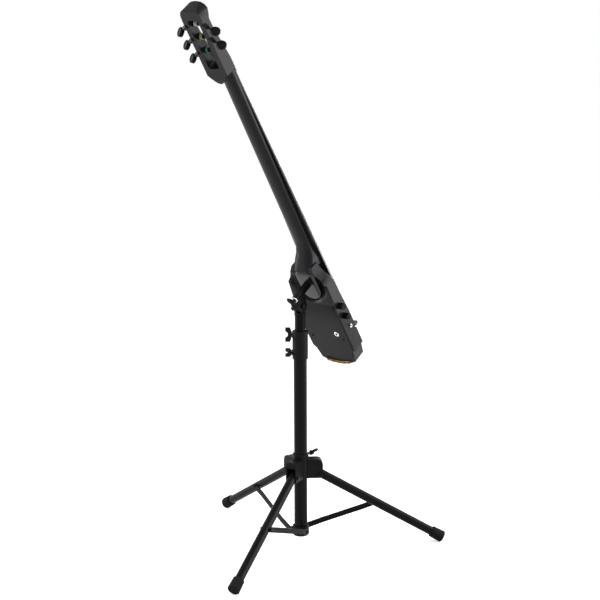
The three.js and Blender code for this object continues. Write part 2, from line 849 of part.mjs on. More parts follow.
function makeKey({ side, base, outward }) {
  const place = (distance) => base.clone().addScaledVector(outward, distance);
  const shaft = rod(place(-keyShaftInside), place(keyReach - keyDiscRadius / 2), keyShaftRadius, smallSides);
  const collarStart = keyBossReach + seatGap;
  const collar = rod(place(collarStart), place(collarStart + keyCollarLength), keyCollarRadius);
  const half = keyDiscThickness / 2;
  const disc = turned([
    [0, -half], [keyDiscRadius - keyDiscRound, -half], [keyDiscRadius, -half + keyDiscRound],
    [keyDiscRadius, half - keyDiscRound], [keyDiscRadius - keyDiscRound, half], [0, half],
  ], mediumSides);
  const faceNormal = at(outward.z, 0, -outward.x);
  if (side > 0) faceNormal.applyAxisAngle(outward, trebleKeyTurn);
  disc.applyQuaternion(new THREE.Quaternion().setFromUnitVectors(at(0, 0, 1), faceNormal));
  const centre = place(keyReach);
  disc.translate(centre.x, centre.y, centre.z);
  return join(shaft, collar, solid(disc));
}

function makePost({ side, along, wide }) {
  const place = (x) => at(side * x, postBack, along);
  const wall = slotHalfWidth - runGap;
  const start = wide ? -wall : postMiddleGap;
  const roller = rod(place(start), place(wall), postRadius);
  const journalStart = wide ? -slotHalfWidth - postJournalLength : start;
  const journal = rod(place(journalStart), place(slotHalfWidth + postJournalLength), postJournalRadius,
    smallSides);
  return join(roller, journal);
}

// A tube of one radius per point, its rings square to the bisector of each bend
function tubeThrough(points, radii, sides) {
  const headings = points.slice(1).map((point, i) => point.clone().sub(points[i]).normalize());
  let side = new THREE.Vector3(1, 0, 0).cross(headings[0]).normalize();
  const rings = points.map((point, i) => {
    const before = headings[Math.max(i - 1, 0)];
    const after = headings[Math.min(i, headings.length - 1)];
    const facing = before.clone().add(after).normalize();
    side = side.clone().addScaledVector(facing, -side.dot(facing)).normalize();
    const other = facing.clone().cross(side);
    return Array.from({ length: sides }, (unused, k) => {
      const angle = (k / sides) * Math.PI * 2;
      return point.clone().addScaledVector(side, radii[i] * Math.cos(angle))
        .addScaledVector(other, radii[i] * Math.sin(angle));
    });
  });
  return loft(rings);
}

// Least gap between stretches of a tube that lie some points apart along it
function leastGap(points, radii, apart) {
  let least = Infinity;
  points.forEach((point, i) => {
    for (let j = i + apart; j < points.length; j += 1) {
      least = Math.min(least, point.distanceTo(points[j]) - radii[i] - radii[j]);
    }
  });
  return least;
}

const silkGaps = [];

function makeString(radius, index) {
  const order = stringOrder[index];
  const key = keys[index];
  const anchorX = bridgeX(order);
  const along = anchorAlong + anchorFall(anchorX);
  const anchorFace = bodyBack + seatGap + anchorThickness;
  const seat = Math.sqrt(ballRadius ** 2 - stringHoleRadius ** 2) + seatGap;
  const ballPoint = at(anchorX, anchorFace + seat, along);
  const tailPoint = at(anchorX, bodyFront - stringFrontClearance, along);
  const bridgePoint = at(anchorX, archFall(bridgeArchRadius, anchorX), 0);
  const nutPoint = at(nutX(order), -radius + archFall(bridgeArchRadius, nutX(order)),
    stringLength + nutLength / 2);
  const coil = postRadius + runGap + silkRadius;
  const step = key.side * (2 * silkRadius + silkTurnGap);
  const coilSteps = Math.round(stringTurns * silkTurnSteps);
  const coilPoints = Array.from({ length: coilSteps + 1 }, (unused, i) => {
    const turn = i / silkTurnSteps;
    const angle = turn * Math.PI * 2;
    return at(silkEntries[index] + step * turn, postBack - coil * Math.cos(angle),
      key.along + coil * Math.sin(angle));
  });
  const run = [ballPoint, tailPoint, bridgePoint, nutPoint];
  const lead = Array.from({ length: silkTurnSteps }, (unused, i) => nutPoint.clone()
    .lerp(coilPoints[0], i / silkTurnSteps));
  const leadRadii = lead.map((unused, i) => blend(radius, silkRadius, i / silkTurnSteps));
  silkGaps.push(leastGap([...lead, ...coilPoints],
    [...leadRadii, ...coilPoints.map(() => silkRadius)], silkTurnSteps / 2));
  const radii = [radius, radius, radius, radius, ...coilPoints.map(() => silkRadius)];
  const wire = tubeThrough([...run, ...coilPoints], radii, stringSides);
  const ball = new THREE.SphereGeometry(ballRadius, smallSides, stringSides);
  ball.translate(ballPoint.x, ballPoint.y, ballPoint.z);
  return join(wire, solid(ball));
}

function makeNut() {
  const thickest = Math.max(...stringRadii);
  const half = neckTopHalfWidth;
  const steps = 8;
  const top = Array.from({ length: steps + 1 }, (unused, i) => {
    const x = half - (2 * half * i) / steps;
    return [x, thickest / 2 + seatGap + archFall(bridgeArchRadius, x)];
  });
  const under = boardUnder(stringLength);
  return plateZ(outline([[-half, under], [half, under], ...top]), stringLength, stringLength + nutLength);
}

function makeBridge() {
  const crownDrop = bridgeCrownHalfLength * (bodyFront - stringFrontClearance) / -anchorAlong;
  const crown = (half) => {
    const steps = 12;
    return Array.from({ length: steps + 1 }, (unused, i) => {
      const x = half - (2 * half * i) / steps;
      return [x, Math.max(...stringRadii) + seatGap + crownDrop + archFall(bridgeArchRadius, x)];
    });
  };
  const foot = bodyFront - seatGap;
  const shape = outline([[-bridgeHalfWidth, foot], [bridgeHalfWidth, foot],
    [bridgeHalfWidth, blend(foot, 0, bridgeShoulderShare)], ...crown(bridgeCrownHalfWidth),
    [-bridgeHalfWidth, blend(foot, 0, bridgeShoulderShare)]]);
  const slab = plateZ(shape, -bridgeHalfLength, bridgeHalfLength);
  const lean = plateX(outline([[foot, -bridgeHalfLength], [foot, bridgeHalfLength],
    [blend(foot, 0, bridgeTaperShare), bridgeHalfLength], [0, bridgeCrownHalfLength],
    [0, -bridgeCrownHalfLength],
    [blend(foot, 0, bridgeTaperShare), -bridgeHalfLength]]), -bridgeHalfWidth, bridgeHalfWidth);
  const opening = new THREE.Shape();
  opening.absellipse(0, foot, bridgeArchHalfWidth, bridgeArchRise, 0, Math.PI * 2);
  const arch = plateZ(opening, -bridgeHalfLength - cutOverrun, bridgeHalfLength + cutOverrun);
  return cut(common(slab, lean), arch);
}

function makeAnchor() {
  const steps = 12;
  const edge = (offset) => Array.from({ length: steps + 1 }, (unused, i) => {
    const x = anchorHalfWidth - (2 * anchorHalfWidth * i) / steps;
    return [x, anchorAlong + anchorFall(x) + offset];
  });
  const shape = outline([...edge(-anchorHalfHeight), ...edge(anchorHalfHeight).reverse()]);
  const low = bodyBack + seatGap;
  const bar = plateY(shape, low, low + anchorThickness, anchorThickness / 4, 1);
  const holes = stringOrder.map((order) => {
    const x = bridgeX(order);
    return boreY(x, anchorAlong + anchorFall(x), stringHoleRadius, low - cutOverrun,
      low + anchorThickness + cutOverrun);
  });
  return cut(bar, ...holes);
}

function makeCover() {
  const plate = common(plateY(coverOutline(0), bodyFront, bodyBack + cutOverrun),
    backSkin(coverThickness, 0));
  const holes = screwPlaces.map(([x, along]) => boreY(x, along, coverScrewShank + seatGap,
    bodyFront, bodyBack + cutOverrun));
  const jackHole = boreY(jackX, jackAlong, jackBarrelRadius + seatGap, bodyFront,
    bodyBack + cutOverrun, mediumSides);
  return cut(plate, ...holes, jackHole);
}

function makeCoverScrew([x, along]) {
  const surface = backAt(along) + 2 * seatGap;
  const headTop = surface + coverScrewHead;
  const shank = boreY(x, along, coverScrewShank, surface - coverScrewDepth, headTop);
  const head = rod(at(x, surface, along), at(x, headTop, along), coverScrewRadius, smallSides,
    coverScrewRadius * coverScrewTopShare);
  return join(shank, head);
}

function makeKnob(along) {
  const wall = bodyHalfAt(along) + 2 * seatGap;
  const shaft = rod(at(-wall - knobLength / 2, controlBack, along),
    at(-potBayOuter + potLength / 2, controlBack, along), knobShaftRadius, smallSides);
  const cap = turned([
    [0, 0], [knobRadius, 0], [knobRadius, knobLength - knobEdge],
    [knobRadius - knobEdge, knobLength], [0, knobLength],
  ], mediumSides);
  cap.rotateY(-Math.PI / 2);
  cap.translate(-wall, controlBack, along);
  return join(shaft, solid(cap));
}

function makeControlBoard() {
  const outer = -potBayOuter + seatGap;
  const boardX = outer + potLength;
  const plate = block(at(boardX, potBayFront + seatGap, bayMiddle + toggleAlong / 4),
    at(boardX + boardThickness, potBayBack - seatGap, potBayTop - seatGap));
  const pots = [volumeAlong, toneAlong].map((along) => cut(
    rod(at(outer, controlBack, along), at(boardX + boardThickness, controlBack, along), potRadius),
    rod(at(outer - cutOverrun, controlBack, along), at(boardX - potLength / 4, controlBack, along),
      knobShaftRadius + runGap),
  ));
  const togglePass = toggleBodyHalf + seatGap;
  const window = block(at(boardX - cutOverrun, toggleBack - togglePass, toggleAlong - togglePass),
    at(boardX + boardThickness + cutOverrun, toggleBack + togglePass, toggleAlong + togglePass));
  return cut(join(plate, ...pots), window);
}

const toggleFace = () => bodyHalfAt(toggleAlong) + seatGap + toggleNutLength;

function makeToggleSwitch() {
  const inner = -potBayOuter + seatGap;
  const bush = rod(at(-toggleFace(), toggleBack, toggleAlong), at(inner + seatGap, toggleBack, toggleAlong),
    toggleBushRadius);
  const nut = rod(at(-toggleFace(), toggleBack, toggleAlong),
    at(-bodyHalfAt(toggleAlong) - seatGap, toggleBack, toggleAlong), toggleNutRadius, stringSides);
  const casing = block(at(inner, toggleBack - toggleBodyHalf + seatGap, toggleAlong - toggleBodyHalf),
    at(inner + toggleBodyLength, toggleBack + toggleBodyHalf, toggleAlong + toggleBodyHalf));
  return join(bush, nut, casing);
}

function makeToggleLever() {
  const x = -toggleFace() - seatGap - leverBallRadius;
  const ball = new THREE.SphereGeometry(leverBallRadius, smallSides, stringSides + 2);
  ball.translate(x, toggleBack, toggleAlong);
  const bat = rod(at(x, toggleBack, toggleAlong), at(x - leverLength, toggleBack, toggleAlong),
    leverRootRadius, smallSides, leverTipRadius);
  return join(solid(ball), bat);
}

function makeJack() {
  const face = bodyBack + seatGap;
  const profile = turned([
    [0, -jackBarrelLength], [jackBarrelRadius, -jackBarrelLength], [jackBarrelRadius, 0],
    [jackFlangeRadius, 0], [jackFlangeRadius, jackFlangeLength / 2],
    [jackFlangeRadius - jackFlangeLength / 2, jackFlangeLength], [jackBoreRadius, jackFlangeLength],
    [jackBoreRadius, -jackBoreDepth], [0, -jackBoreDepth],
  ], mediumSides);
  profile.rotateX(-Math.PI / 2);
  profile.translate(jackX, face, jackAlong);
  return solid(profile);
}

function makeBlock() {
  const pill = plateY(blockOutline(0), blockFront, blockBack, blockEdgeRound, 2);
  const bore = boreY(0, mountScrewAlong, mountScrewRadius + seatGap,
    blockBack - mountScrewEngagement - seatGap, blockBack + cutOverrun, mediumSides);
  return cut(pill, bore);
}

function makeArm() {
  const barrel = plateY(roundedBox(armHalfWidth, mountScrewAlong - armHalfHeight,
    mountScrewAlong + armHalfHeight, armCorner), blockBack + seatGap, armBack);
  const bore = boreY(0, mountScrewAlong, mountScrewRadius + seatGap, blockBack, armBack + cutOverrun,
    mediumSides);
  const near = -knuckleGap / 2;
  const far = -knuckleGap / 2 - knuckleWidth;
  const disc = rod(at(near, tiltPivotBack, tiltPivotAlong), at(far, tiltPivotBack, tiltPivotAlong),
    knuckleRadius, largeSides);
  const web = plateX(outline([
    [tiltPivotBack - knuckleRadius, tiltPivotAlong],
    [tiltPivotBack + knuckleRadius * armWebBackShare, tiltPivotAlong + knuckleRadius * armWebRiseShare],
    [armBack, mountScrewAlong - ferruleRadius - seatGap],
    [armBack, mountScrewAlong],
    [tiltPivotBack - knuckleRadius * armWebFrontShare, mountScrewAlong],
  ]), far, near);
  const pivotBore = rod(at(near + cutOverrun, tiltPivotBack, tiltPivotAlong),
    at(far - cutOverrun, tiltPivotBack, tiltPivotAlong), tiltBoltRadius + runGap);
  return cut(join(barrel, disc, web), bore, pivotBore);
}

function makeFerrule() {
  const low = armBack + seatGap;
  const ring = rod(at(0, low, mountScrewAlong), at(0, low + ferruleLength, mountScrewAlong),
    ferruleRadius, mediumSides, ferruleRadius - ferruleLength / 3);
  return cut(ring, boreY(0, mountScrewAlong, mountScrewRadius + seatGap, low - cutOverrun,
    low + ferruleLength + cutOverrun, mediumSides));
}

function makeMountScrew() {
  const seat = armBack + 2 * seatGap + ferruleLength;
  const shank = rod(at(0, blockBack - mountScrewEngagement, mountScrewAlong),
    at(0, seat + mountScrewHeadLength / 2, mountScrewAlong), mountScrewRadius);
  const head = rod(at(0, seat, mountScrewAlong), at(0, seat + mountScrewHeadLength, mountScrewAlong),
    mountScrewHeadRadius);
  const socket = rod(at(0, seat + mountScrewHeadLength / 3, mountScrewAlong),
    at(0, seat + mountScrewHeadLength + cutOverrun, mountScrewAlong), mountScrewHeadRadius / 2, stringSides);
  return cut(join(shank, head), socket);
}

addNode(cello, 'body', makeBody(), 'lacquer');
addNode(cello, 'neck', neckSolid(0), 'lacquer');
addNode(cello, 'fingerboard', makeFingerboard(), 'blackWood');
addNode(cello, 'nut', makeNut(), 'boneBlack');
addNode(cello, 'headstock', makeHead(), 'lacquer');
keys.forEach((key, i) => {
  addNode(cello, `tuner_key_${i + 1}`, makeKey(key), 'blackMetal');
  addNode(cello, `string_post_${i + 1}`, makePost(key), 'blackMetal');
});
addNode(cello, 'bridge', makeBridge(), 'blackWood');
stringRadii.forEach((radius, i) => {
  addNode(cello, `string_${i + 1}`, makeString(radius, i), 'steel');
});
addNode(cello, 'string_anchor', makeAnchor(), 'brass');
addNode(cello, 'back_cover', makeCover(), 'lacquer');
screwPlaces.forEach((place, i) => {
  addNode(cello, `cover_screw_${i + 1}`, makeCoverScrew(place), 'steel');
});
addNode(cello, 'control_board', makeControlBoard(), 'board');
addNode(cello, 'volume_knob', makeKnob(volumeAlong), 'blackMetal');
addNode(cello, 'tone_knob', makeKnob(toneAlong), 'blackMetal');
addNode(cello, 'toggle_switch', makeToggleSwitch(), 'steel');
addNode(cello, 'toggle_lever', makeToggleLever(), 'chrome');
addNode(cello, 'output_jack', makeJack(), 'chrome');
addNode(cello, 'mount_block', makeBlock(), 'lacquer');
addNode(cello, 'tilt_arm', makeArm(), 'blackMetal');
addNode(cello, 'mount_ferrule', makeFerrule(), 'chrome');
addNode(cello, 'mount_screw', makeMountScrew(), 'blackMetal');

function makeTiltBase() {
  const low = innerTubeTop + seatGap;
  const pivot = (x) => at(x, 0, tiltPivotHeight);
  const near = knuckleGap / 2;
  const far = near + cheekWidth;
  const plug = rod(at(0, 0, low - tiltSpigotLength), at(0, 0, low + tiltBaseRise / 2), tiltSpigotRadius,
    largeSides);
  const foot = rod(at(0, 0, low), at(0, 0, low + tiltBaseRise), tiltBaseRadius, largeSides);
  const disc = rod(pivot(near), pivot(far), knuckleRadius, largeSides);
  const web = plateX(outline([
    [-knuckleRadius * baseWebShare, low], [knuckleRadius * baseWebShare, low],
    [knuckleRadius, tiltPivotHeight], [-knuckleRadius, tiltPivotHeight],
  ]), near, far);
  const bore = rod(pivot(near - cutOverrun), pivot(far + cutOverrun), tiltBoltRadius + seatGap);
  return cut(join(plug, foot, disc, common(web, rod(at(0, 0, low), pivot(0), tiltBaseRadius, largeSides))),
    bore);
}

// The tilt bolt's head lies on the bass side and its thread shows past the treble cheek.
function makeTiltBolt() {
  const pivot = (x) => at(x, 0, tiltPivotHeight);
  const headSide = -knuckleGap / 2 - knuckleWidth - seatGap;
  const threadEnd = knuckleGap / 2 + cheekWidth + tiltBoltThread;
  const shank = rod(pivot(headSide), pivot(threadEnd), tiltBoltRadius);
  const head = rod(pivot(headSide), pivot(headSide - tiltBoltHeadLength), tiltBoltHeadRadius, stringSides);
  return join(shank, head);
}

// A wing nut on the bolt's thread, its wing along the cello
function makeTiltWing() {
  const start = knuckleGap / 2 + cheekWidth + seatGap;
  const hub = rod(at(0, 0, start), at(0, 0, start + tiltBoltThread), wingHubRadius);
  const bore = rod(at(0, 0, start - cutOverrun), at(0, 0, start + tiltBoltThread + seatGap),
    tiltBoltRadius + seatGap);
  const nut = cut(join(hub, wingHandle(start, start + tiltBoltThread / 2, wingSpan)), bore);
  const along = at(0, Math.sin(tiltAngle), Math.cos(tiltAngle));
  const across = at(0, -Math.cos(tiltAngle), Math.sin(tiltAngle));
  return set(nut, along, across, at(1, 0, 0), at(0, 0, tiltPivotHeight));
}

function makeInnerTube() {
  const tube = rod(at(0, 0, innerTubeBottom), at(0, 0, innerTubeTop), innerTubeRadius, largeSides);
  const bush = rod(at(0, 0, innerTubeBottom), at(0, 0, innerTubeBottom + guideBushLength), guideBushRadius,
    largeSides);
  const bore = rod(at(0, 0, innerTubeBottom - cutOverrun), at(0, 0, innerTubeTop + cutOverrun),
    innerTubeRadius - innerTubeWall, largeSides);
  return cut(join(tube, bush), bore);
}

// A direction out from the pole, and the one that follows it counterclockwise
const outFrom = (angle) => at(Math.cos(angle), Math.sin(angle), 0);
const roundFrom = (angle) => at(-Math.sin(angle), Math.cos(angle), 0);

function makeSleeve() {
  const body = rod(at(0, 0, sleeveBottom), at(0, 0, sleeveTop), sleeveRadius, largeSides);
  const stop = tubeTop + seatGap;
  const lowBore = rod(at(0, 0, sleeveBottom - cutOverrun), at(0, 0, stop), tubeRadius + runGap, largeSides);
  const highBore = rod(at(0, 0, stop - cutOverrun), at(0, 0, sleeveTop + cutOverrun),
    innerTubeRadius + runGap, largeSides);
  const out = outFrom(sleeveScrewAngle);
  const heights = [tubeScrewHeight, sleeveScrewHeight];
  const raised = (radius, height) => out.clone().multiplyScalar(radius).setZ(height);
  const bosses = heights.map((height) => rod(raised(innerTubeRadius + innerTubeWall, height),
    raised(sleeveBossReach, height), sleeveBossRadius));
  const bores = heights.map((height) => rod(raised(0, height), raised(sleeveBossReach + cutOverrun, height),
    wingShankRadius + seatGap, smallSides));
  return cut(join(body, ...bosses), lowBore, highBore, ...bores);
}

// A wing screw pointing at the pole, its wing turned by an angle from upright
function makeWingScrew(angle, height, tip, hubStart, span, turn) {
  const handle = wingHandle(tip, hubStart, span);
  const side = roundFrom(angle).negate();
  const along = at(0, 0, Math.cos(turn)).addScaledVector(side, Math.sin(turn));
  const across = at(0, 0, -Math.sin(turn)).addScaledVector(side, Math.cos(turn));
  return set(handle, along, across, outFrom(angle), at(0, 0, height));
}

function makeCentreTube() {
  const tube = rod(at(0, 0, tubeBottom), at(0, 0, tubeTop), tubeRadius, largeSides);
  const bore = rod(at(0, 0, tubeBottom - cutOverrun), at(0, 0, tubeTop + cutOverrun),
    tubeRadius - tubeWall, largeSides);
  return cut(tube, bore);
}

// Side of the collar that a strut lies against
const strutSide = collarRadius + seatGap;

// A point in a leg's plane: distance out from the pole, distance round, height
function inPlane(angle, out, round, height) {
  const point = outFrom(angle).multiplyScalar(out);
  return point.addScaledVector(roundFrom(angle), round).setZ(height);
}

function makeCollar() {
  const profile = turned([
    [0, collarBottom], [collarRadius - collarRound, collarBottom],
    [collarRadius, collarBottom + collarRound], [collarRadius, collarTop], [0, collarTop],
  ], largeSides);
  const lugs = legAngles.map((angle) => rod(inPlane(angle, strutRoot, tubeRadius, strutRootHeight),
    inPlane(angle, strutRoot, collarRadius, strutRootHeight), collarLugRadius));
  const seat = rod(at(0, 0, collarBottom + collarFloor), at(0, 0, collarTop + cutOverrun),
    tubeRadius + seatGap, largeSides);
  const drain = rod(at(0, 0, 0), at(0, 0, collarTop), collarDrainRadius, smallSides);
  return cut(join(solid(profile), ...lugs), seat, drain);
}

function makeHub() {
  const body = rod(at(0, 0, hubBottom), at(0, 0, hubTop), hubRadius, largeSides);
  const ring = rod(at(0, 0, hubTop - cutOverrun), at(0, 0, hubRingTop), hubRingRadius, largeSides);
  const bore = rod(at(0, 0, hubBottom - cutOverrun), at(0, 0, hubRingTop + cutOverrun),
    tubeRadius + runGap, largeSides);
  const side = new THREE.Shape();
  side.moveTo(tubeRadius, hubBottom);
  side.lineTo(lugReach, hubBottom);
  side.lineTo(lugReach, hubTop - lugRound);
  side.absarc(lugReach - lugRound, hubTop - lugRound, lugRound, 0, Math.PI / 2);
  side.lineTo(tubeRadius, hubTop);
  const half = legRadius + runGap;
  const slotSide = outline([
    [lugSlotStart, hubBottom - cutOverrun], [lugReach + cutOverrun, hubBottom - cutOverrun],
    [lugReach + cutOverrun, hubTop - lugRound], [lugReach - lugRound / 2, hubTop - lugRoof],
    [lugSlotStart, hubTop - lugRoof],
  ]);
  const lug = cut(plateX(side, -lugHalfWidth, lugHalfWidth), plateX(slotSide, -half, half),
    rod(at(-lugHalfWidth - cutOverrun, legPivotRadius, legPivotHeight),
      at(lugHalfWidth + cutOverrun, legPivotRadius, legPivotHeight), hubBoltRadius + seatGap));
  const lugs = legAngles.map((angle) => set(lug, roundFrom(angle).negate(), outFrom(angle), at(0, 0, 1),
    at(0, 0, 0)));
  const out = outFrom(hubScrewAngle);
  const screwBore = rod(at(0, 0, hubScrewHeight), out.multiplyScalar(hubRadius * 2).setZ(hubScrewHeight),
    wingShankRadius + seatGap, smallSides);
  return cut(join(body, ring, ...lugs), bore, screwBore);
}

// A bolt across the lug and the leg, its head on the clockwise side
function makeHubBolt(angle) {
  const place = (round) => inPlane(angle, legPivotRadius, round, legPivotHeight);
  const face = lugHalfWidth + seatGap;
  const shank = rod(place(-face - hubBoltHeadLength / 2), place(face + hubBoltHeadLength),
    hubBoltRadius, smallSides);
  const head = rod(place(-face), place(-face - hubBoltHeadLength), hubBoltHeadRadius, mediumSides,
    hubBoltHeadRadius * hubBoltTopShare);
  const nut = rod(place(face), place(face + hubBoltHeadLength), hubBoltHeadRadius, stringSides);
  return join(shank, head, nut);
}

// Where a leg's axis is at a distance from its pivot, in its plane
function onLeg(angle, distance, round = 0) {
  return inPlane(angle, legPivotRadius + distance * Math.cos(legSlope), round,
    legPivotHeight - distance * Math.sin(legSlope));
}

// The foot's low corner lies just under the floor, where it is cut flat.
const footEnd = (legPivotHeight + footFacet - footRadius * Math.cos(legSlope)) / Math.sin(legSlope)
  + footChamfer;
const footStart = footEnd - footLength;

function makeLeg(angle) {
  const tubeEnd = footEnd - footTip;
  const tube = rod(onLeg(angle, -legInnerEnd), onLeg(angle, tubeEnd), legRadius, mediumSides);
  const bore = rod(onLeg(angle, -legInnerEnd - cutOverrun), onLeg(angle, tubeEnd + cutOverrun),
    legRadius - legWall, mediumSides);
  const pivotBore = rod(inPlane(angle, legPivotRadius, -legRadius - cutOverrun, legPivotHeight),
    inPlane(angle, legPivotRadius, legRadius + cutOverrun, legPivotHeight), hubBoltRadius + runGap);
  const boltEnd = rod(onLeg(angle, strutLegDistance, -legRadius + legWall / 2),
    onLeg(angle, strutLegDistance, -legRadius - rivetLength), rivetRadius, smallSides,
    rivetRadius * rivetTopShare);
  return join(cut(tube, bore, pivotBore), boltEnd);
}

function makeFoot(angle) {
  const end = footEnd;
  const profile = solid(turned([
    [0, footStart], [footLeast, footStart], [footRadius, end - footChamfer],
    [footRadius - footChamfer, end], [0, end],
  ], mediumSides));
  const pivot = inPlane(angle, legPivotRadius, 0, legPivotHeight);
  const down = onLeg(angle, footEnd).sub(pivot).normalize();
  const round = roundFrom(angle);
  const shell = set(profile, round, down.clone().cross(round), down, pivot);
  const socket = rod(onLeg(angle, footStart - cutOverrun), onLeg(angle, end - footTip + seatGap),
    legRadius + seatGap, mediumSides);
  const plug = rod(onLeg(angle, end - footTip - footPlugLength), onLeg(angle, end - footTip / 2),
    legRadius - legWall - seatGap, mediumSides);
  const floor = block(at(-footEnd * 2, -footEnd * 2, -footRadius * 2), at(footEnd * 2, footEnd * 2, 0));
  return cut(join(cut(shell, socket), plug), floor);
}

// A flat bar from the collar to the leg, bent in beside the leg, with its two rivet heads.
// It is drawn along +y with the round direction along -x, then set in its leg's plane.
function makeStrut(angle) {
  const legOut = legPivotRadius + strutLegDistance * Math.cos(legSlope);
  const legHeight = legPivotHeight - strutLegDistance * Math.sin(legSlope);
  const length = Math.hypot(legOut - strutRoot, legHeight - strutRootHeight);
  const slope = Math.atan2(legHeight - strutRootHeight, legOut - strutRoot);
  const legSide = legRadius + 2 * seatGap;
  const half = strutHeight / 2;
  const bendEnd = length - strutBendEnd;
  const bendStart = bendEnd - strutBendLength;
  const top = outline([
    [-strutSide, -half], [-strutSide, bendStart], [-legSide, bendEnd], [-legSide, length + half],
    [-legSide - strutThickness, length + half], [-legSide - strutThickness, bendEnd],
    [-strutSide - strutThickness, bendStart], [-strutSide - strutThickness, -half],
  ]);
  const face = new THREE.Shape();
  face.moveTo(0, -half);
  face.lineTo(length, -half);
  face.absarc(length, 0, half, -Math.PI / 2, Math.PI / 2);
  face.lineTo(0, half);
  face.absarc(0, 0, half, Math.PI / 2, Math.PI * 1.5);
  const bar = common(plateZ(top, -half, half),
    plateX(face, -strutSide - strutThickness - cutOverrun, 0));
  const rivetAt = (along, side) => rod(at(-side - strutThickness / 2, along, 0),
    at(-side - strutThickness - rivetLength, along, 0), rivetRadius, smallSides,
    rivetRadius * rivetTopShare);
  const strut = join(bar, rivetAt(0, strutSide), rivetAt(length, legSide));
  const forward = inPlane(angle, Math.cos(slope), 0, Math.sin(slope));
  const upward = inPlane(angle, -Math.sin(slope), 0, Math.cos(slope));
  return set(strut, roundFrom(angle).negate(), forward, upward,
    inPlane(angle, strutRoot, 0, strutRootHeight));
}

addNode(stand, 'tilt_base', makeTiltBase(), 'blackMetal');
addNode(stand, 'tilt_bolt', makeTiltBolt(), 'blackMetal');
addNode(stand, 'tilt_wing_nut', makeTiltWing(), 'blackPlastic');
addNode(stand, 'inner_tube', makeInnerTube(), 'blackMetal');
addNode(stand, 'clamp_sleeve', makeSleeve(), 'blackPlastic');
addNode(stand, 'tube_clamp_screw', makeWingScrew(sleeveScrewAngle, tubeScrewHeight,
  innerTubeRadius + runGap, sleeveBossReach + seatGap, wingSpan, tubeScrewTurn), 'blackPlastic');
addNode(stand, 'sleeve_clamp_screw', makeWingScrew(sleeveScrewAngle, sleeveScrewHeight,
  tubeRadius + runGap, sleeveBossReach + seatGap, wingSpan, sleeveScrewTurn), 'blackPlastic');
addNode(stand, 'centre_tube', makeCentreTube(), 'blackMetal');
addNode(stand, 'strut_collar', makeCollar(), 'blackPlastic');
addNode(stand, 'hub', makeHub(), 'blackPlastic');
addNode(stand, 'hub_clamp_screw', makeWingScrew(hubScrewAngle, hubScrewHeight, tubeRadius + runGap,
  hubRadius + hubScrewStand, hubWingSpan, hubScrewTurn), 'blackPlastic');
legAngles.forEach((angle, i) => {
  addNode(stand, `leg_${i + 1}`, makeLeg(angle), 'blackMetal');
  addNode(stand, `foot_${i + 1}`, makeFoot(angle), 'rubber');
  addNode(stand, `strut_${i + 1}`, makeStrut(angle), 'blackMetal');
  addNode(stand, `hub_bolt_${i + 1}`, makeHubBolt(angle), 'steel');
});

const silkGap = Math.min(...silkGaps);
const silkVerdict = silkGap > leastSilkGap ? 'clear' : 'too close';
console.log(`least gap between string turns: ${silkGap.toFixed(3)} mm, ${silkVerdict}`);

// The origin is on the floor, under the middle of the whole object.
model.updateMatrixWorld(true);
const extent = new THREE.Box3().setFromObject(model, true);
const centre = extent.getCenter(at(0, 0, 0));
stand.position.set(-centre.x, -centre.y, -extent.min.z);
tilted.position.add(stand.position);
model.updateMatrixWorld(true);

export default model;
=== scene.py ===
# %% [markdown]
# The object is a solid-body electric cello held on a folding tripod. Its solids arrive packed, at
# their real size, and stay where they are. This lesson gives them their finish, and makes again in
# fine mesh the pieces whose curves the solids only show in facets.

# %% The frame
import json
import math

import bmesh
import bpy
import numpy as np
from mathutils import Matrix, Vector

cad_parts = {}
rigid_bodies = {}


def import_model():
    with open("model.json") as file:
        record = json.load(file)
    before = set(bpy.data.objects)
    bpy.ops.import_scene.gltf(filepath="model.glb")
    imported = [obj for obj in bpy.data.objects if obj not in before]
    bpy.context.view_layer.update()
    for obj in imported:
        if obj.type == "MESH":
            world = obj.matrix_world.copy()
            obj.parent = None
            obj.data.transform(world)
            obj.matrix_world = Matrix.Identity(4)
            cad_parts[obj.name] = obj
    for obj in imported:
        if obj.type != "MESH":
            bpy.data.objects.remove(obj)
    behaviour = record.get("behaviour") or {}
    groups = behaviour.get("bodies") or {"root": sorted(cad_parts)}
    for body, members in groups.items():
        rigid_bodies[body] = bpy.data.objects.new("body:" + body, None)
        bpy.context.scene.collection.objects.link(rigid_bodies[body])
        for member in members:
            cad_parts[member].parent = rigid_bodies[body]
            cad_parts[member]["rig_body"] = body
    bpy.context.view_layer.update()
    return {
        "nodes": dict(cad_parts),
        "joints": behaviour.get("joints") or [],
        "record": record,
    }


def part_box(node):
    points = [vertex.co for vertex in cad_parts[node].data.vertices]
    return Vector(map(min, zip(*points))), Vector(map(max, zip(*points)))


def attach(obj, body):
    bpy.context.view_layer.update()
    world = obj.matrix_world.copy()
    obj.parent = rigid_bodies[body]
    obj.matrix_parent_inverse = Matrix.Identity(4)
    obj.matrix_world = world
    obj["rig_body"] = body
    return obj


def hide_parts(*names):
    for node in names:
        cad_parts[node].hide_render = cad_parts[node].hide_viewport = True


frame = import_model()
joints = {joint["name"]: joint for joint in frame["joints"]}
slots = {part["node"]: part["material_slot"] for part in frame["record"]["subparts"]}

# %% [markdown]
# The photograph was taken from about three metres away with a long lens, a little above the middle
# of the object. The camera stands where the object's own edges say it stood.

# %% The camera
CAMERA_PLACE = Vector((-2.05561, 2.39505, 1.18590))
CAMERA_HEADING = math.radians(39.5)
CAMERA_PITCH = 0.19
CAMERA_ROLL = -0.004
LENS_MM = 87.0
SENSOR_MM = 36.0

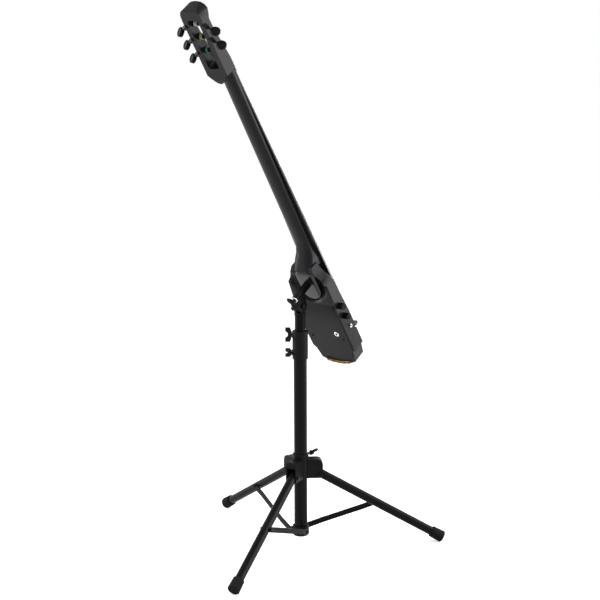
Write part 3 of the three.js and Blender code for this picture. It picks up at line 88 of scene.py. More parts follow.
forward = Vector((
    math.sin(CAMERA_HEADING) * math.cos(CAMERA_PITCH),
    -math.cos(CAMERA_HEADING) * math.cos(CAMERA_PITCH),
    -math.sin(CAMERA_PITCH),
))
right = forward.cross(Vector((0, 0, 1))).normalized()
up = right.cross(forward)
turn = Matrix.Rotation(-CAMERA_ROLL, 3, forward)
right, up = turn @ right, turn @ up
lens = bpy.data.cameras.new("camera")
lens.lens = LENS_MM
lens.sensor_width = SENSOR_MM
camera = bpy.data.objects.new("camera", lens)
bpy.context.scene.collection.objects.link(camera)
axes = Matrix((right, up, -forward)).transposed()
camera.matrix_world = Matrix.Translation(CAMERA_PLACE) @ axes.to_4x4()
bpy.context.scene.camera = camera
bpy.context.scene.view_settings.view_transform = "Standard"
print("camera at", [round(value, 3) for value in CAMERA_PLACE], "lens", LENS_MM)

# %% [markdown]
# The cello leans back about its tilt joint. Its pieces are easier to work out in its own frame,
# where x runs to the treble side, y to the back and z to the head, from the point where the middle
# string crosses the bridge. One function carries such points to their real place.

# %% Places on the cello and on the stand
MM = 0.001
LEAN = math.radians(33.3)
PIVOT = np.array(joints["cello_tilt"]["pos_m"])
PIVOT_ON_CELLO = np.array([0.0, 107.0, 130.0]) * MM
POLE = np.array(joints["sleeve_swivel"]["pos_m"]) * [1, 1, 0]
LEAN_TURN = np.array([
    [1, 0, 0],
    [0, math.cos(LEAN), math.sin(LEAN)],
    [0, -math.sin(LEAN), math.cos(LEAN)],
])


def on_cello(points_mm):
    """Points in the cello's own frame, in millimetres, as places in metres."""
    return (np.asarray(points_mm, float) * MM - PIVOT_ON_CELLO) @ LEAN_TURN.T + PIVOT


def along_cello(direction):
    """A direction in the cello's own frame, as a direction in the object's frame."""
    return LEAN_TURN @ np.asarray(direction, float)


print("pole at", POLE.round(4), "lean", round(math.degrees(LEAN), 1))

# %% [markdown]
# Every new surface is a grid of points, and becomes a mesh in one step. Rings that shrink to a point
# are merged, open ends get a lid, and the faces are made to point outwards.

# %% A mesh from a grid of points
MERGE_WITHIN = 1e-7


def mesh_of(name, grid):
    """Quads between neighbouring rings of a (rings, points, 3) grid, with a lid on each end."""
    rings, count = grid.shape[:2]
    low = np.arange(rings - 1)[:, None] * count
    here = np.arange(count)[None, :]
    beside = (here + 1) % count
    quads = np.stack([low + here, low + beside, low + count + beside, low + count + here], -1)
    lids = [list(range(count))[::-1], list(range((rings - 1) * count, rings * count))]
    mesh = bpy.data.meshes.new(name)
    mesh.from_pydata(grid.reshape(-1, 3), [], quads.reshape(-1, 4).tolist() + lids)
    shape = bmesh.new()
    shape.from_mesh(mesh)
    bmesh.ops.remove_doubles(shape, verts=shape.verts, dist=MERGE_WITHIN)
    bmesh.ops.recalc_face_normals(shape, faces=shape.faces)
    shape.to_mesh(mesh)
    shape.free()
    return mesh


print("points closer than", MERGE_WITHIN / MM, "mm are merged")

# %% [markdown]
# A grid is made either of a profile turned about an axis or of rings round a path.

# %% Turned shapes and tubes
FEW_SIDES, MORE_SIDES, MANY_SIDES, STRING_SIDES = 32, 64, 96, 16
NEARLY_UPRIGHT = 0.9


def frame_about(axis):
    """Two directions square to an axis and to each other."""
    axis = np.asarray(axis, float) / np.linalg.norm(axis)
    helper = np.array([0, 0, 1.0]) if abs(axis[2]) < NEARLY_UPRIGHT else np.array([1.0, 0, 0])
    side = np.cross(axis, helper)
    side /= np.linalg.norm(side)
    return axis, side, np.cross(axis, side)


def turned(profile_mm, start, axis, sides=MORE_SIDES, ripple=None):
    """A profile of (radius, distance) in mm, turned about an axis from a start point in metres.
    ripple scales the radius by the angle and the distance, as knurling does."""
    axis, side, other = frame_about(axis)
    radius, distance = (np.asarray(profile_mm, float) * MM).T
    angle = np.linspace(0, 2 * math.pi, sides, endpoint=False)[None, :]
    spread = radius[:, None] * (ripple(angle, distance[:, None]) if ripple else np.ones_like(angle))
    return (np.asarray(start) + distance[:, None, None] * axis
            + (spread * np.cos(angle))[..., None] * side
            + (spread * np.sin(angle))[..., None] * other)


def tube(path, radii, across, sides=STRING_SIDES):
    """A ring round each point of a path, square to it. across is never along the path."""
    heading = np.gradient(path, axis=0)
    heading /= np.linalg.norm(heading, axis=1, keepdims=True)
    side = across - (heading @ across)[:, None] * heading
    side /= np.linalg.norm(side, axis=1, keepdims=True)
    other = np.cross(heading, side)
    angle = np.linspace(0, 2 * math.pi, sides, endpoint=False)[None, :, None]
    return path[:, None] + np.asarray(radii)[:, None, None] * (
        np.cos(angle) * side[:, None] + np.sin(angle) * other[:, None])


print("sides of round pieces", STRING_SIDES, FEW_SIDES, MORE_SIDES, MANY_SIDES)

# %% [markdown]
# A mesh becomes a piece of the model: it gets its finish, moves with a body, and takes the place of
# the solids that it shows.

# %% A piece on its body
SMOOTH_BELOW = math.radians(38)


def piece_from(name, mesh, material, body, nodes, smooth_below=SMOOTH_BELOW):
    """Shades a mesh smooth except at real edges, and puts it on its body with its finish."""
    mesh.shade_smooth()
    mesh.set_sharp_from_angle(angle=smooth_below)
    mesh.materials.append(material)
    piece = bpy.data.objects.new(name, mesh)
    bpy.context.scene.collection.objects.link(piece)
    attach(piece, body)
    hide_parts(*nodes)
    return piece


print("shaded smooth below", round(math.degrees(SMOOTH_BELOW)), "degrees")

# %% [markdown]
# Materials are networks of nodes. A socket takes a number, a colour or another node's output, and a
# few short functions add the nodes that come back everywhere.

# %% Nodes
def feed(tree, socket, value):
    """Gives a socket a number, a colour of three, or a link from another node's output."""
    if isinstance(value, bpy.types.NodeSocket):
        tree.links.new(value, socket)
    elif isinstance(value, tuple):
        socket.default_value = (*value, 1)
    else:
        socket.default_value = value


def worked(tree, operation, *values, clamp=False):
    """The result of a math node."""
    node = tree.nodes.new("ShaderNodeMath")
    node.operation, node.use_clamp = operation, clamp
    for socket, value in zip(node.inputs, values):
        feed(tree, socket, value)
    return node.outputs[0]


def blended(tree, share, low, high):
    """A number between two others."""
    mix = tree.nodes.new("ShaderNodeMix")
    for label, value in (("Factor", share), ("A", low), ("B", high)):
        feed(tree, mix.inputs[label], value)
    return mix.outputs["Result"]


def mixed(tree, share, low, high):
    """A colour between two others."""
    mix = tree.nodes.new("ShaderNodeMix")
    mix.data_type = "RGBA"
    colour_a, colour_b = mix.inputs[6], mix.inputs[7]
    for socket, value in ((mix.inputs["Factor"], share), (colour_a, low), (colour_b, high)):
        feed(tree, socket, value)
    return mix.outputs[2]


def noise_of(tree, scale):
    """A noise node on the object's own coordinates."""
    place = tree.nodes.new("ShaderNodeTexCoord")
    noise = tree.nodes.new("ShaderNodeTexNoise")
    tree.links.new(place.outputs["Object"], noise.inputs["Vector"])
    feed(tree, noise.inputs["Scale"], scale)
    return noise


print("node helpers", [helper.__name__ for helper in (feed, worked, blended, mixed, noise_of)])

# %% [markdown]
# Four effects come back in most finishes: a fine relief, cloudy variation, worn edges and settled
# dust. Each is a node group with named inputs, built once and placed with other values.

# %% Relief and cloud
COARSER = 0.16
CLOUD_DETAIL, CLOUD_MIDDLE = 5, 0.5


def new_group(name, inputs, output):
    """An empty shader group with number inputs and one number output, and the sockets inside it."""
    group = bpy.data.node_groups.new(name, "ShaderNodeTree")
    for label, value in inputs.items():
        socket = group.interface.new_socket(name=label, in_out="INPUT", socket_type="NodeSocketFloat")
        socket.default_value = value
    group.interface.new_socket(name=output, in_out="OUTPUT", socket_type="NodeSocketFloat")
    given, result = group.nodes.new("NodeGroupInput"), group.nodes.new("NodeGroupOutput")
    return group, given.outputs, result.inputs[output]


def make_relief():
    """Height from two sizes of noise."""
    group, given, height = new_group("fine relief", {"Scale": 900.0, "Coarse share": 0.3}, "Height")
    fine = noise_of(group, given["Scale"]).outputs["Fac"]
    coarse = noise_of(group, worked(group, "MULTIPLY", given["Scale"], COARSER)).outputs["Fac"]
    group.links.new(blended(group, given["Coarse share"], fine, coarse), height)
    return group


def make_cloud():
    """A slow mask between 0 and 1 for colour and gloss that vary over a hand's width."""
    group, given, mask = new_group("cloud", {"Scale": 12.0, "Contrast": 1.4}, "Mask")
    noise = noise_of(group, given["Scale"])
    noise.inputs["Detail"].default_value = CLOUD_DETAIL
    centred = worked(group, "SUBTRACT", noise.outputs["Fac"], CLOUD_MIDDLE)
    stretched = worked(group, "MULTIPLY_ADD", centred, given["Contrast"], CLOUD_MIDDLE, clamp=True)
    group.links.new(stretched, mask)
    return group


RELIEF, CLOUD = make_relief(), make_cloud()
print("shared effects", RELIEF.name, CLOUD.name)

# %% [markdown]
# Wear and dust depend on the shape: wear on how sharply it bends outwards, dust on how far it faces up.

# %% Wear and dust
WEAR_CONTRAST, WEAR_NOISE = 9, 160


def make_wear():
    """Outer edges found by how sharply the surface bends, broken up by noise."""
    group, given, mask = new_group("edge wear", {"Start": 0.53, "Amount": 0.5}, "Mask")
    bend = group.nodes.new("ShaderNodeNewGeometry").outputs["Pointiness"]
    above = worked(group, "SUBTRACT", bend, given["Start"])
    sharp = worked(group, "MULTIPLY", above, WEAR_CONTRAST, clamp=True)
    broken = worked(group, "MULTIPLY", sharp, noise_of(group, WEAR_NOISE).outputs["Fac"])
    group.links.new(worked(group, "MULTIPLY", broken, given["Amount"], clamp=True), mask)
    return group


def make_dust():
    """A thin veil on faces that look up, thicker where noise is high."""
    group, given, mask = new_group("dust", {"Amount": 0.1, "Scale": 60.0}, "Mask")
    facing = group.nodes.new("ShaderNodeNewGeometry").outputs["Normal"]
    split = group.nodes.new("ShaderNodeSeparateXYZ")
    group.links.new(facing, split.inputs[0])
    noise = noise_of(group, given["Scale"]).outputs["Fac"]
    upward = worked(group, "MULTIPLY", split.outputs["Z"], noise, clamp=True)
    group.links.new(worked(group, "MULTIPLY", upward, given["Amount"], clamp=True), mask)
    return group


WEAR, DUST = make_wear(), make_dust()
print("shared effects", WEAR.name, DUST.name)

# %% [markdown]
# A material places these groups with its own values. A grain is noise whose cells are long in one
# direction, given by its three sizes and its turn.

# %% Effects in a material
GRAIN_DETAIL = 6


def placed(tree, group, output, **values):
    """A shared effect's output in a material, with its inputs set."""
    node = tree.nodes.new("ShaderNodeGroup")
    node.node_tree = group
    for label, value in values.items():
        node.inputs[label].default_value = value
    return node.outputs[output]


def grained(tree, mask, height, sizes_mm, angle, share):
    """The mask with a share of the grain in it, and the height with the grain on top."""
    place = tree.nodes.new("ShaderNodeTexCoord")
    mapping = tree.nodes.new("ShaderNodeMapping")
    mapping.vector_type = "TEXTURE"
    mapping.inputs["Rotation"].default_value = angle
    mapping.inputs["Scale"].default_value = [size * MM for size in sizes_mm]
    noise = tree.nodes.new("ShaderNodeTexNoise")
    noise.inputs["Scale"].default_value = 1
    noise.inputs["Detail"].default_value = GRAIN_DETAIL
    tree.links.new(place.outputs["Object"], mapping.inputs["Vector"])
    tree.links.new(mapping.outputs["Vector"], noise.inputs["Vector"])
    grain = noise.outputs["Fac"]
    return blended(tree, share, mask, grain), worked(tree, "ADD", height, grain)


print("detail of a grain", GRAIN_DETAIL)

# %% [markdown]
# A finish starts from one function: two close colours mixed by the cloud, a paler one on the edges,
# a dust veil, a gloss that varies with the cloud, and a relief.

# %% One function for every finish
DUST_COLOUR, THIN_DUST = (0.5, 0.49, 0.47), 0.006


def finish(name, colours, gloss, relief, worn=None, metal=0.0, shine=0.3, dust=THIN_DUST, streaks=None):
    """A finish. colours: two close ones. gloss: least and most roughness. relief: scale and depth
    in mm. worn: edge colour and amount. streaks: a grain's sizes in mm, its turn and its share."""
    material = bpy.data.materials.new(name)
    material.use_nodes = True
    tree = material.node_tree
    shader = tree.nodes["Principled BSDF"].inputs
    shader["Metallic"].default_value = metal
    shader["Specular IOR Level"].default_value = shine
    mask = placed(tree, CLOUD, "Mask")
    height = placed(tree, RELIEF, "Height", Scale=relief[0])
    if streaks:
        mask, height = grained(tree, mask, height, *streaks)
    colour = mixed(tree, mask, *colours)
    if worn:
        colour = mixed(tree, placed(tree, WEAR, "Mask", Amount=worn[1]), colour, worn[0])
    veil = placed(tree, DUST, "Mask", Amount=dust)
    feed(tree, shader["Base Color"], mixed(tree, veil, colour, DUST_COLOUR))
    rough = tree.nodes.new("ShaderNodeMapRange")
    rough.inputs["To Min"].default_value, rough.inputs["To Max"].default_value = gloss
    feed(tree, rough.inputs["Value"], mask)
    feed(tree, shader["Roughness"], rough.outputs["Result"])
    bump = tree.nodes.new("ShaderNodeBump")
    bump.inputs["Distance"].default_value = relief[1] * MM
    feed(tree, bump.inputs["Height"], height)
    feed(tree, shader["Normal"], bump.outputs["Normal"])
    return material


print("colour of the dust", DUST_COLOUR)

# %% [markdown]
# The cello is lacquered in charcoal, with sanding marks along it, and its fingerboard and bridge are
# oiled wood. The stand is powder coated steel and moulded plastic.

# %% The finishes
CELLO_TURN = (-LEAN, 0, 0)
SANDING = (2.4, 2.4, 70)
WOOD_GRAIN = (1.4, 1.4, 55)
FINISHES = {
    "body_lacquer": finish("charcoal lacquer", ((0.006, 0.006, 0.007), (0.010, 0.010, 0.012)),
                           (0.20, 0.32), (1500, 0.008), ((0.04, 0.04, 0.045), 0.2), shine=0.10,
                           streaks=(SANDING, CELLO_TURN, 0.35)),
    "black_wood": finish("oiled black wood", ((0.004, 0.0035, 0.0035), (0.009, 0.008, 0.0075)),
                         (0.26, 0.40), (1200, 0.02), ((0.03, 0.028, 0.026), 0.25), shine=0.30,
                         streaks=(WOOD_GRAIN, CELLO_TURN, 0.8)),
    "nut_black": finish("polished black nut", ((0.006, 0.006, 0.007), (0.010, 0.010, 0.011)),
                        (0.22, 0.32), (1600, 0.01), shine=0.15),
    "black_metal": finish("black powder coat", ((0.002, 0.002, 0.0022), (0.0045, 0.0045, 0.005)),
                          (0.16, 0.26), (2600, 0.008), ((0.05, 0.05, 0.052), 0.25), shine=0.05),
    "black_plastic": finish("moulded black plastic", ((0.003, 0.003, 0.0032), (0.006, 0.006, 0.0065)),
                            (0.32, 0.46), (2200, 0.03), ((0.03, 0.03, 0.03), 0.35), shine=0.06),
    "foot_rubber": finish("black rubber", ((0.005, 0.005, 0.005), (0.011, 0.0107, 0.0103)),
                          (0.62, 0.85), (1400, 0.05), ((0.03, 0.03, 0.028), 0.4), shine=0.04,
                          dust=0.03),
    "bolt_steel": finish("plated steel", ((0.40, 0.40, 0.41), (0.55, 0.55, 0.56)),
                         (0.22, 0.38), (1800, 0.01), metal=1.0),
    "string_steel": finish("wound steel", ((0.42, 0.42, 0.43), (0.60, 0.60, 0.61)),
                           (0.25, 0.40), (3500, 0.02), metal=1.0),
    "anchor_brass": finish("satin brass", ((0.10, 0.062, 0.022), (0.19, 0.125, 0.05)),
                           (0.30, 0.48), (1500, 0.015), ((0.45, 0.34, 0.17), 0.5), metal=1.0),
    "circuit_board": finish("printed board", ((0.01, 0.05, 0.02), (0.02, 0.09, 0.04)),
                            (0.35, 0.5), (1200, 0.02)),
    "chrome_trim": finish("polished chrome", ((0.62, 0.63, 0.65), (0.74, 0.75, 0.77)),
                          (0.05, 0.14), (900, 0.004), metal=1.0),
}
SILKS = [finish(f"silk {number}", (low, high), (0.7, 0.9), (5200, 0.08), dust=0.0)
         for number, (low, high) in enumerate([
             ((0.03, 0.17, 0.13), (0.06, 0.27, 0.21)), ((0.24, 0.23, 0.07), (0.37, 0.35, 0.13)),
             ((0.36, 0.34, 0.42), (0.50, 0.48, 0.57)), ((0.20, 0.06, 0.10), (0.31, 0.11, 0.17)),
             ((0.14, 0.08, 0.22), (0.22, 0.13, 0.32))], 1)]
POLISHED = finish("polished lacquer", ((0.004, 0.004, 0.005), (0.007, 0.007, 0.008)), (0.10, 0.18),
                  (1500, 0.006), ((0.04, 0.04, 0.045), 0.2), shine=0.4)
BALL_ENDS = finish("string ball ends", ((0.42, 0.33, 0.19), (0.58, 0.48, 0.31)), (0.22, 0.36),
                   (1800, 0.01), metal=1.0)
COVER = finish("satin lacquer", ((0.006, 0.006, 0.007), (0.009, 0.009, 0.010)), (0.32, 0.44),
               (1500, 0.012), ((0.05, 0.05, 0.055), 0.3), shine=0.09,
               streaks=(SANDING, CELLO_TURN, 0.35))
print("finishes", len(FINISHES), "silks", len(SILKS), [POLISHED.name, BALL_ENDS.name, COVER.name])

# %% [markdown]
# Flat and moulded pieces keep the shape of their solid. A copy of each is merged, its flat faces
# joined, its hard edges rounded by a fraction of a millimetre as a real edge is, and its round faces
# shaded smooth. Without the small rounding an edge catches no light and looks cut from paper. The
# shading is weighted by area, so that a large flat face stays flat up to its rounded edge.

# %% Pieces that keep the solid's shape
FLAT_WITHIN = math.radians(0.4)
EDGE_FROM = math.radians(40)
SOLID_MERGE_WITHIN = 2e-6
EDGE_SEGMENTS, BY_AREA = 2, 100


def dressed(node, edge_mm):
    """The solid's own shape with rounded edges, on the solid's body."""
    solid = frame["nodes"][node]
    shape = bmesh.new()
    shape.from_mesh(solid.data)
    bmesh.ops.remove_doubles(shape, verts=shape.verts, dist=SOLID_MERGE_WITHIN)
    bmesh.ops.dissolve_limit(shape, angle_limit=FLAT_WITHIN, verts=shape.verts, edges=shape.edges)
    mesh = bpy.data.meshes.new(f"{node}_dressed")
    shape.to_mesh(mesh)
    shape.free()
    if "custom_normal" in mesh.attributes:
        mesh.attributes.remove(mesh.attributes["custom_normal"])
    material = COVER if node == "back_cover" else FINISHES[slots[node]]
    piece = piece_from(f"{node}_dressed", mesh, material, solid["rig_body"], [node],
                       EDGE_FROM)
    if edge_mm:
        bevel = piece.modifiers.new("edge", "BEVEL")
        bevel.width = edge_mm * MM
        bevel.segments = EDGE_SEGMENTS
        bevel.limit_method = "ANGLE"
        bevel.angle_limit = EDGE_FROM
    even = piece.modifiers.new("even shading", "WEIGHTED_NORMAL")
    even.weight = BY_AREA
    even.keep_sharp = True
    return piece


EDGES_MM = {
    "body": 0.5, "headstock": 0.4, "fingerboard": 0.4, "nut": 0.3, "bridge": 0.4, "back_cover": 0.25,
    "tilt_arm": 0.6, "mount_ferrule": 0.2, "mount_screw": 0.2, "tilt_base": 0.5,
    "tilt_bolt": 0.3, "tilt_wing_nut": 0.5, "clamp_sleeve": 0.5, "tube_clamp_screw": 0.5,
    "sleeve_clamp_screw": 0.5, "strut_collar": 0.4, "hub": 0.8, "hub_clamp_screw": 0.5,
    "string_anchor": 0.2, "control_board": 0, "toggle_switch": 0.2, "toggle_lever": 0,
}
EDGES_MM |= {f"cover_screw_{number}": 0.15 for number in range(1, 5)}
for number in range(1, 4):
    EDGES_MM |= {f"hub_bolt_{number}": 0.2, f"strut_{number}": 0.3}
EDGES_MM |= {f"string_post_{number}": 0.2 for number in range(1, 6)}
for node, edge_mm in EDGES_MM.items():
    dressed(node, edge_mm)
print("dressed", len(EDGES_MM))

# %% [markdown]
# The neck is one long curve from the heel to the nut: flat under the fingerboard and round behind.
# Its section is a superellipse, squarer at the heel and rounder higher up, and its width, depth and
# squareness run in straight lines between a few stations along it.

# %% The neck
NECK_STATIONS = np.array([
    # along, half width, back, squareness
    [188.0, 26.0, 61.5, 5.0], [191.6, 26.0, 61.5, 5.0], [200.0, 26.0, 55.9, 4.5],
    [212.0, 24.5, 47.5, 3.6], [223.4, 21.8, 38.425, 3.0], [234.8, 20.45, 33.31, 2.5],
    [250.0, 20.0, 31.0, 2.2], [470.0, 18.65, 27.5, 2.2], [690.0, 17.3, 24.0, 2.2],
    [704.0, 17.3, 24.0, 2.2]])
BOARD_UNDER_MM = ((690.0, 8.5), (95.0, 18.0))
NECK_SEAT_MM, NECK_SIDE_SHARE = 0.3, 0.3
NECK_LOW, NECK_CURVED_TO, NECK_HIGH = 188.0, 250.0, 704.0
CURVED_RINGS, STRAIGHT_RINGS, BACK_POINTS, FRONT_POINTS = 40, 60, 49, 9


def neck_rings():
    """Rings at many places along. In front each is a straight line. Behind it is half a superellipse:
    x = half width x cos^(2 / squareness) and y = middle + depth x sin^(2 / squareness)."""
    along = np.unique(np.concatenate([np.linspace(NECK_LOW, NECK_CURVED_TO, CURVED_RINGS),
                                      np.linspace(NECK_CURVED_TO, NECK_HIGH, STRAIGHT_RINGS)]))
    half, back, power = (np.interp(along, NECK_STATIONS[:, 0], NECK_STATIONS[:, column])
                         for column in (1, 2, 3))
    (nut, nut_under), (end, end_under) = BOARD_UNDER_MM
    front = nut_under + (nut - along) / (nut - end) * (end_under - nut_under) + NECK_SEAT_MM
    middle = front + (back - front) * NECK_SIDE_SHARE
    angle = np.linspace(0, math.pi, BACK_POINTS)[None, :]
    share = (2 / power)[:, None]
    across = np.sign(np.cos(angle)) * np.abs(np.cos(angle)) ** share * half[:, None]
    behind = middle[:, None] + (back - middle)[:, None] * np.abs(np.sin(angle)) ** share
    flat = np.linspace(-1, 1, FRONT_POINTS)[None, :] * half[:, None]
    x = np.concatenate([flat, across], 1)
    y = np.concatenate([np.repeat(front[:, None], FRONT_POINTS, 1), behind], 1)
    z = np.repeat(along[:, None], x.shape[1], 1)
    return on_cello(np.stack([x, y, z], -1))


neck = piece_from("neck_carved", mesh_of("neck_carved", neck_rings()), FINISHES["body_lacquer"],
                  "cello", ["neck"])
print("neck faces", len(neck.data.polygons))

# %% [markdown]
# The block that carries the stand's arm is a thick plate with a round lower end. Its outline is
# drawn in ring by ring along a quarter circle on both faces, and goes on into the screw's bore.

# %% The mount block
BLOCK_HALF, BLOCK_TOP, BLOCK_ROUND_AT, BLOCK_CORNER = 27.0, 186.6, 132.0, 9.0
BLOCK_FRONT, BLOCK_BACK, BLOCK_FRONT_ROUND, BLOCK_BACK_ROUND = 41.0, 61.0, 1.5, 7.5
BORE_AT, BORE_RADIUS, BORE_DEPTH = 153.5, 3.3, 12.3
BEND_POINTS, UNDER_POINTS = 9, 41
QUARTER = np.linspace(0, math.pi / 2, BEND_POINTS)


def block_outline(inset):
    """Two corner arcs and a half circle with fixed centres, all with their radius less the inset."""
    reach, side, top = BLOCK_CORNER - inset, BLOCK_HALF - BLOCK_CORNER, BLOCK_TOP - BLOCK_CORNER
    under = np.linspace(math.pi, 2 * math.pi, UNDER_POINTS)
    return np.concatenate([
        np.stack([side + reach * np.cos(QUARTER), top + reach * np.sin(QUARTER)], -1),
        np.stack([-side - reach * np.sin(QUARTER), top + reach * np.cos(QUARTER)], -1),
        np.stack([(BLOCK_HALF - inset) * np.cos(under),
                  BLOCK_ROUND_AT + (BLOCK_HALF - inset) * np.sin(under)], -1)])


def block_rings():
    """Outlines from front to back. In front the inset is R (1 - sin), at R (1 - cos) from the face, and
    behind the two change places. The last outline shrinks to the bore, which goes in from the back."""
    near, far = 1 - np.sin(QUARTER), 1 - np.cos(QUARTER)
    insets = np.concatenate([BLOCK_FRONT_ROUND * near, BLOCK_BACK_ROUND * far])
    places = np.concatenate([BLOCK_FRONT + BLOCK_FRONT_ROUND * far,
                             BLOCK_BACK - BLOCK_BACK_ROUND * near])
    rings = [(block_outline(inset), y) for inset, y in zip(insets, places)]
    from_bore = rings[-1][0] - [0, BORE_AT]
    bore = from_bore / np.linalg.norm(from_bore, axis=1, keepdims=True) * BORE_RADIUS + [0, BORE_AT]
    rings += [(bore, BLOCK_BACK), (bore, BLOCK_BACK - BORE_DEPTH)]
    return on_cello([[(x, y, z) for x, z in outline] for outline, y in rings])


block = piece_from("mount_block_rounded", mesh_of("mount_block_rounded", block_rings()), POLISHED,
                   "cello", ["mount_block"])
print("block faces", len(block.data.polygons))

# %% [markdown]
# A string runs from its ball in the brass anchor, through the body, over the bridge and nut, and
# winds round its post. The last stretch is bound in coloured silk. The path is worked out as one
# line of points: straight stretches, then a helix round the post.

# %% Where a string runs
STRING_MM = 690.0
STRING_RADII = (0.5, 0.6, 0.75, 0.9, 1.1)
BRIDGE_SPACING, NUT_SPACING, ARCH_RADIUS = 14.3, 5.6, 80.0
SILK_RADIUS, SILK_GAP = 0.7, 0.12
SILK_TURNS = (3.5, 5.0, 6.0, 5.5, 4.0)
SILK_ENTRIES = (7.6, 5.6, 3.4, -4.4, -6.6)
POST_PLACES = ((1, 756.0), (1, 788.0), (1, 819.0), (-1, 821.0), (-1, 789.0))
POST_BACK, POST_RADIUS, POST_GAP = 25.0, 5.0, 0.3
ANCHOR_ALONG, ANCHOR_RISE, ANCHOR_FACE = -76.0, 3.6, 74.7
BALL_RADIUS, HOLE_RADIUS, FRONT_Y = 2.4, 1.6, 28.5
NUT_LENGTH = 5.5
ACROSS = np.array([1.0, 0, 0])
LEAD_POINTS, COIL_POINTS = 16, 160


def arch(x):
    """How far an arch has fallen from its crown at a distance from its middle."""
    return ARCH_RADIUS - math.sqrt(ARCH_RADIUS**2 - x * x)


def string_paths(index):
    """The steel stretch, the silk stretch and the ball's place of one string, on the cello. The coil is
    a helix: it moves along the post by one pitch a turn, at a fixed distance from the post's middle."""
    order, radius = 2 - index, STRING_RADII[index]
    side, along = POST_PLACES[index]
    anchor_x, nut_x = order * BRIDGE_SPACING, order * NUT_SPACING
    tail = ANCHOR_ALONG + ANCHOR_RISE * (order / 2) ** 2
    ball_y = ANCHOR_FACE + math.sqrt(BALL_RADIUS**2 - HOLE_RADIUS**2) + POST_GAP
    corners = np.array([
        [anchor_x, ball_y, tail], [anchor_x, FRONT_Y, tail], [anchor_x, arch(anchor_x), 0],
        [nut_x, arch(nut_x) - radius, STRING_MM + NUT_LENGTH / 2]])
    turn = np.linspace(0, SILK_TURNS[index], COIL_POINTS)
    reach = POST_RADIUS + POST_GAP + SILK_RADIUS
    coil = np.stack([SILK_ENTRIES[index] + side * (2 * SILK_RADIUS + SILK_GAP) * turn,
                     POST_BACK - reach * np.cos(2 * math.pi * turn),
                     along + reach * np.sin(2 * math.pi * turn)], -1)
    lead = corners[3] + (coil[0] - corners[3]) * np.linspace(0, 1, LEAD_POINTS)[:, None]
    return corners, np.concatenate([lead[:-1], coil]), np.array([anchor_x, ball_y, tail])


print("a string's corners", len(string_paths(0)[0]), "silk turns", SILK_TURNS)

# %% [markdown]
# The steel keeps one radius. The silk starts with it and swells or shrinks to its own along the lead.

# %% The strings
SILK_SIDES, BALL_SIDES, BALL_POINTS = 12, 24, 17
swing = np.linspace(-math.pi / 2, math.pi / 2, BALL_POINTS)
globe = np.stack([BALL_RADIUS * np.abs(np.cos(swing)).round(9), BALL_RADIUS * np.sin(swing)], -1)
for index, radius in enumerate(STRING_RADII):
    steel, silk, ball = string_paths(index)
    name = f"string_{index + 1}"
    radii = np.interp(np.arange(len(silk)), [0, LEAD_POINTS - 2], [radius, SILK_RADIUS])
    bare = mesh_of(f"{name}_steel", on_cello(tube(steel, [radius] * len(steel), ACROSS)))
    bound = mesh_of(f"{name}_silk", on_cello(tube(silk, radii, ACROSS, SILK_SIDES)))
    end = mesh_of(f"{name}_ball", turned(globe, on_cello(ball), along_cello((0, 1, 0)), BALL_SIDES))
    piece_from(bare.name, bare, FINISHES["string_steel"], "cello", [name])
    piece_from(bound.name, bound, SILKS[index], "cello", [name])
    piece_from(end.name, end, BALL_ENDS, "cello", [name])
    print(name, "radius", radius, "faces", len(bare.polygons) + len(bound.polygons))

# %% [markdown]
# Each tuner key is a slim shaft with a collar and a thick round disc. The disc's rim is rounded by
# a quarter circle on both faces, and each face has a shallow hollow, as a turned button has.

# %% The profiles of a key
KEY_REACH, KEY_SHAFT, KEY_INSIDE, KEY_BOSS_REACH = 23.8, 2.1, 6.0, 5.5
KEY_COLLAR, KEY_COLLAR_LENGTH, KEY_COLLAR_EDGE = 3.9, 2.6, 0.4
KEY_DISC_RADIUS, KEY_DISC_HALF, KEY_DISC_ROUND = 10.3, 4.5, 2.4
KEY_HOLLOW, KEY_HOLLOW_SHARE, KEY_CURVE_POINTS = 0.7, 0.92, 8
collar, disc = KEY_BOSS_REACH + POST_GAP, KEY_REACH - KEY_DISC_RADIUS / 2
collar_end = collar + KEY_COLLAR_LENGTH
STEM = [(0, -KEY_INSIDE), (KEY_SHAFT, -KEY_INSIDE), (KEY_SHAFT, collar),
        (KEY_COLLAR - KEY_COLLAR_EDGE, collar), (KEY_COLLAR, collar + KEY_COLLAR_EDGE),
        (KEY_COLLAR, collar_end - KEY_COLLAR_EDGE), (KEY_COLLAR - KEY_COLLAR_EDGE, collar_end),
        (KEY_SHAFT, collar_end), (KEY_SHAFT, disc), (0, disc)]


def button_profile():
    """A hollow, whose depth is full depth x (1 - (radius / the hollow's radius)^2), and the quarter
    circle of the rim. Both come back in mirror image for the other face."""
    bend = np.linspace(0, math.pi / 2, KEY_CURVE_POINTS)
    inner = KEY_DISC_RADIUS - KEY_DISC_ROUND
    rim = np.stack([inner + KEY_DISC_ROUND * np.sin(bend),
                    KEY_DISC_HALF - KEY_DISC_ROUND + KEY_DISC_ROUND * np.cos(bend)], -1)
    hollow_radius = inner * KEY_HOLLOW_SHARE
    radius = np.linspace(0, hollow_radius, KEY_CURVE_POINTS)
    hollow = np.stack([radius, KEY_DISC_HALF - KEY_HOLLOW * (1 - (radius / hollow_radius) ** 2)], -1)
    top = np.concatenate([hollow, rim])
    return np.concatenate([top, top[::-1] * [1, -1]])


print("a button's profile has", len(button_profile()), "points")

# %% [markdown]
# A disc's faces look along the neck. The discs on the treble side are turned about their shafts.

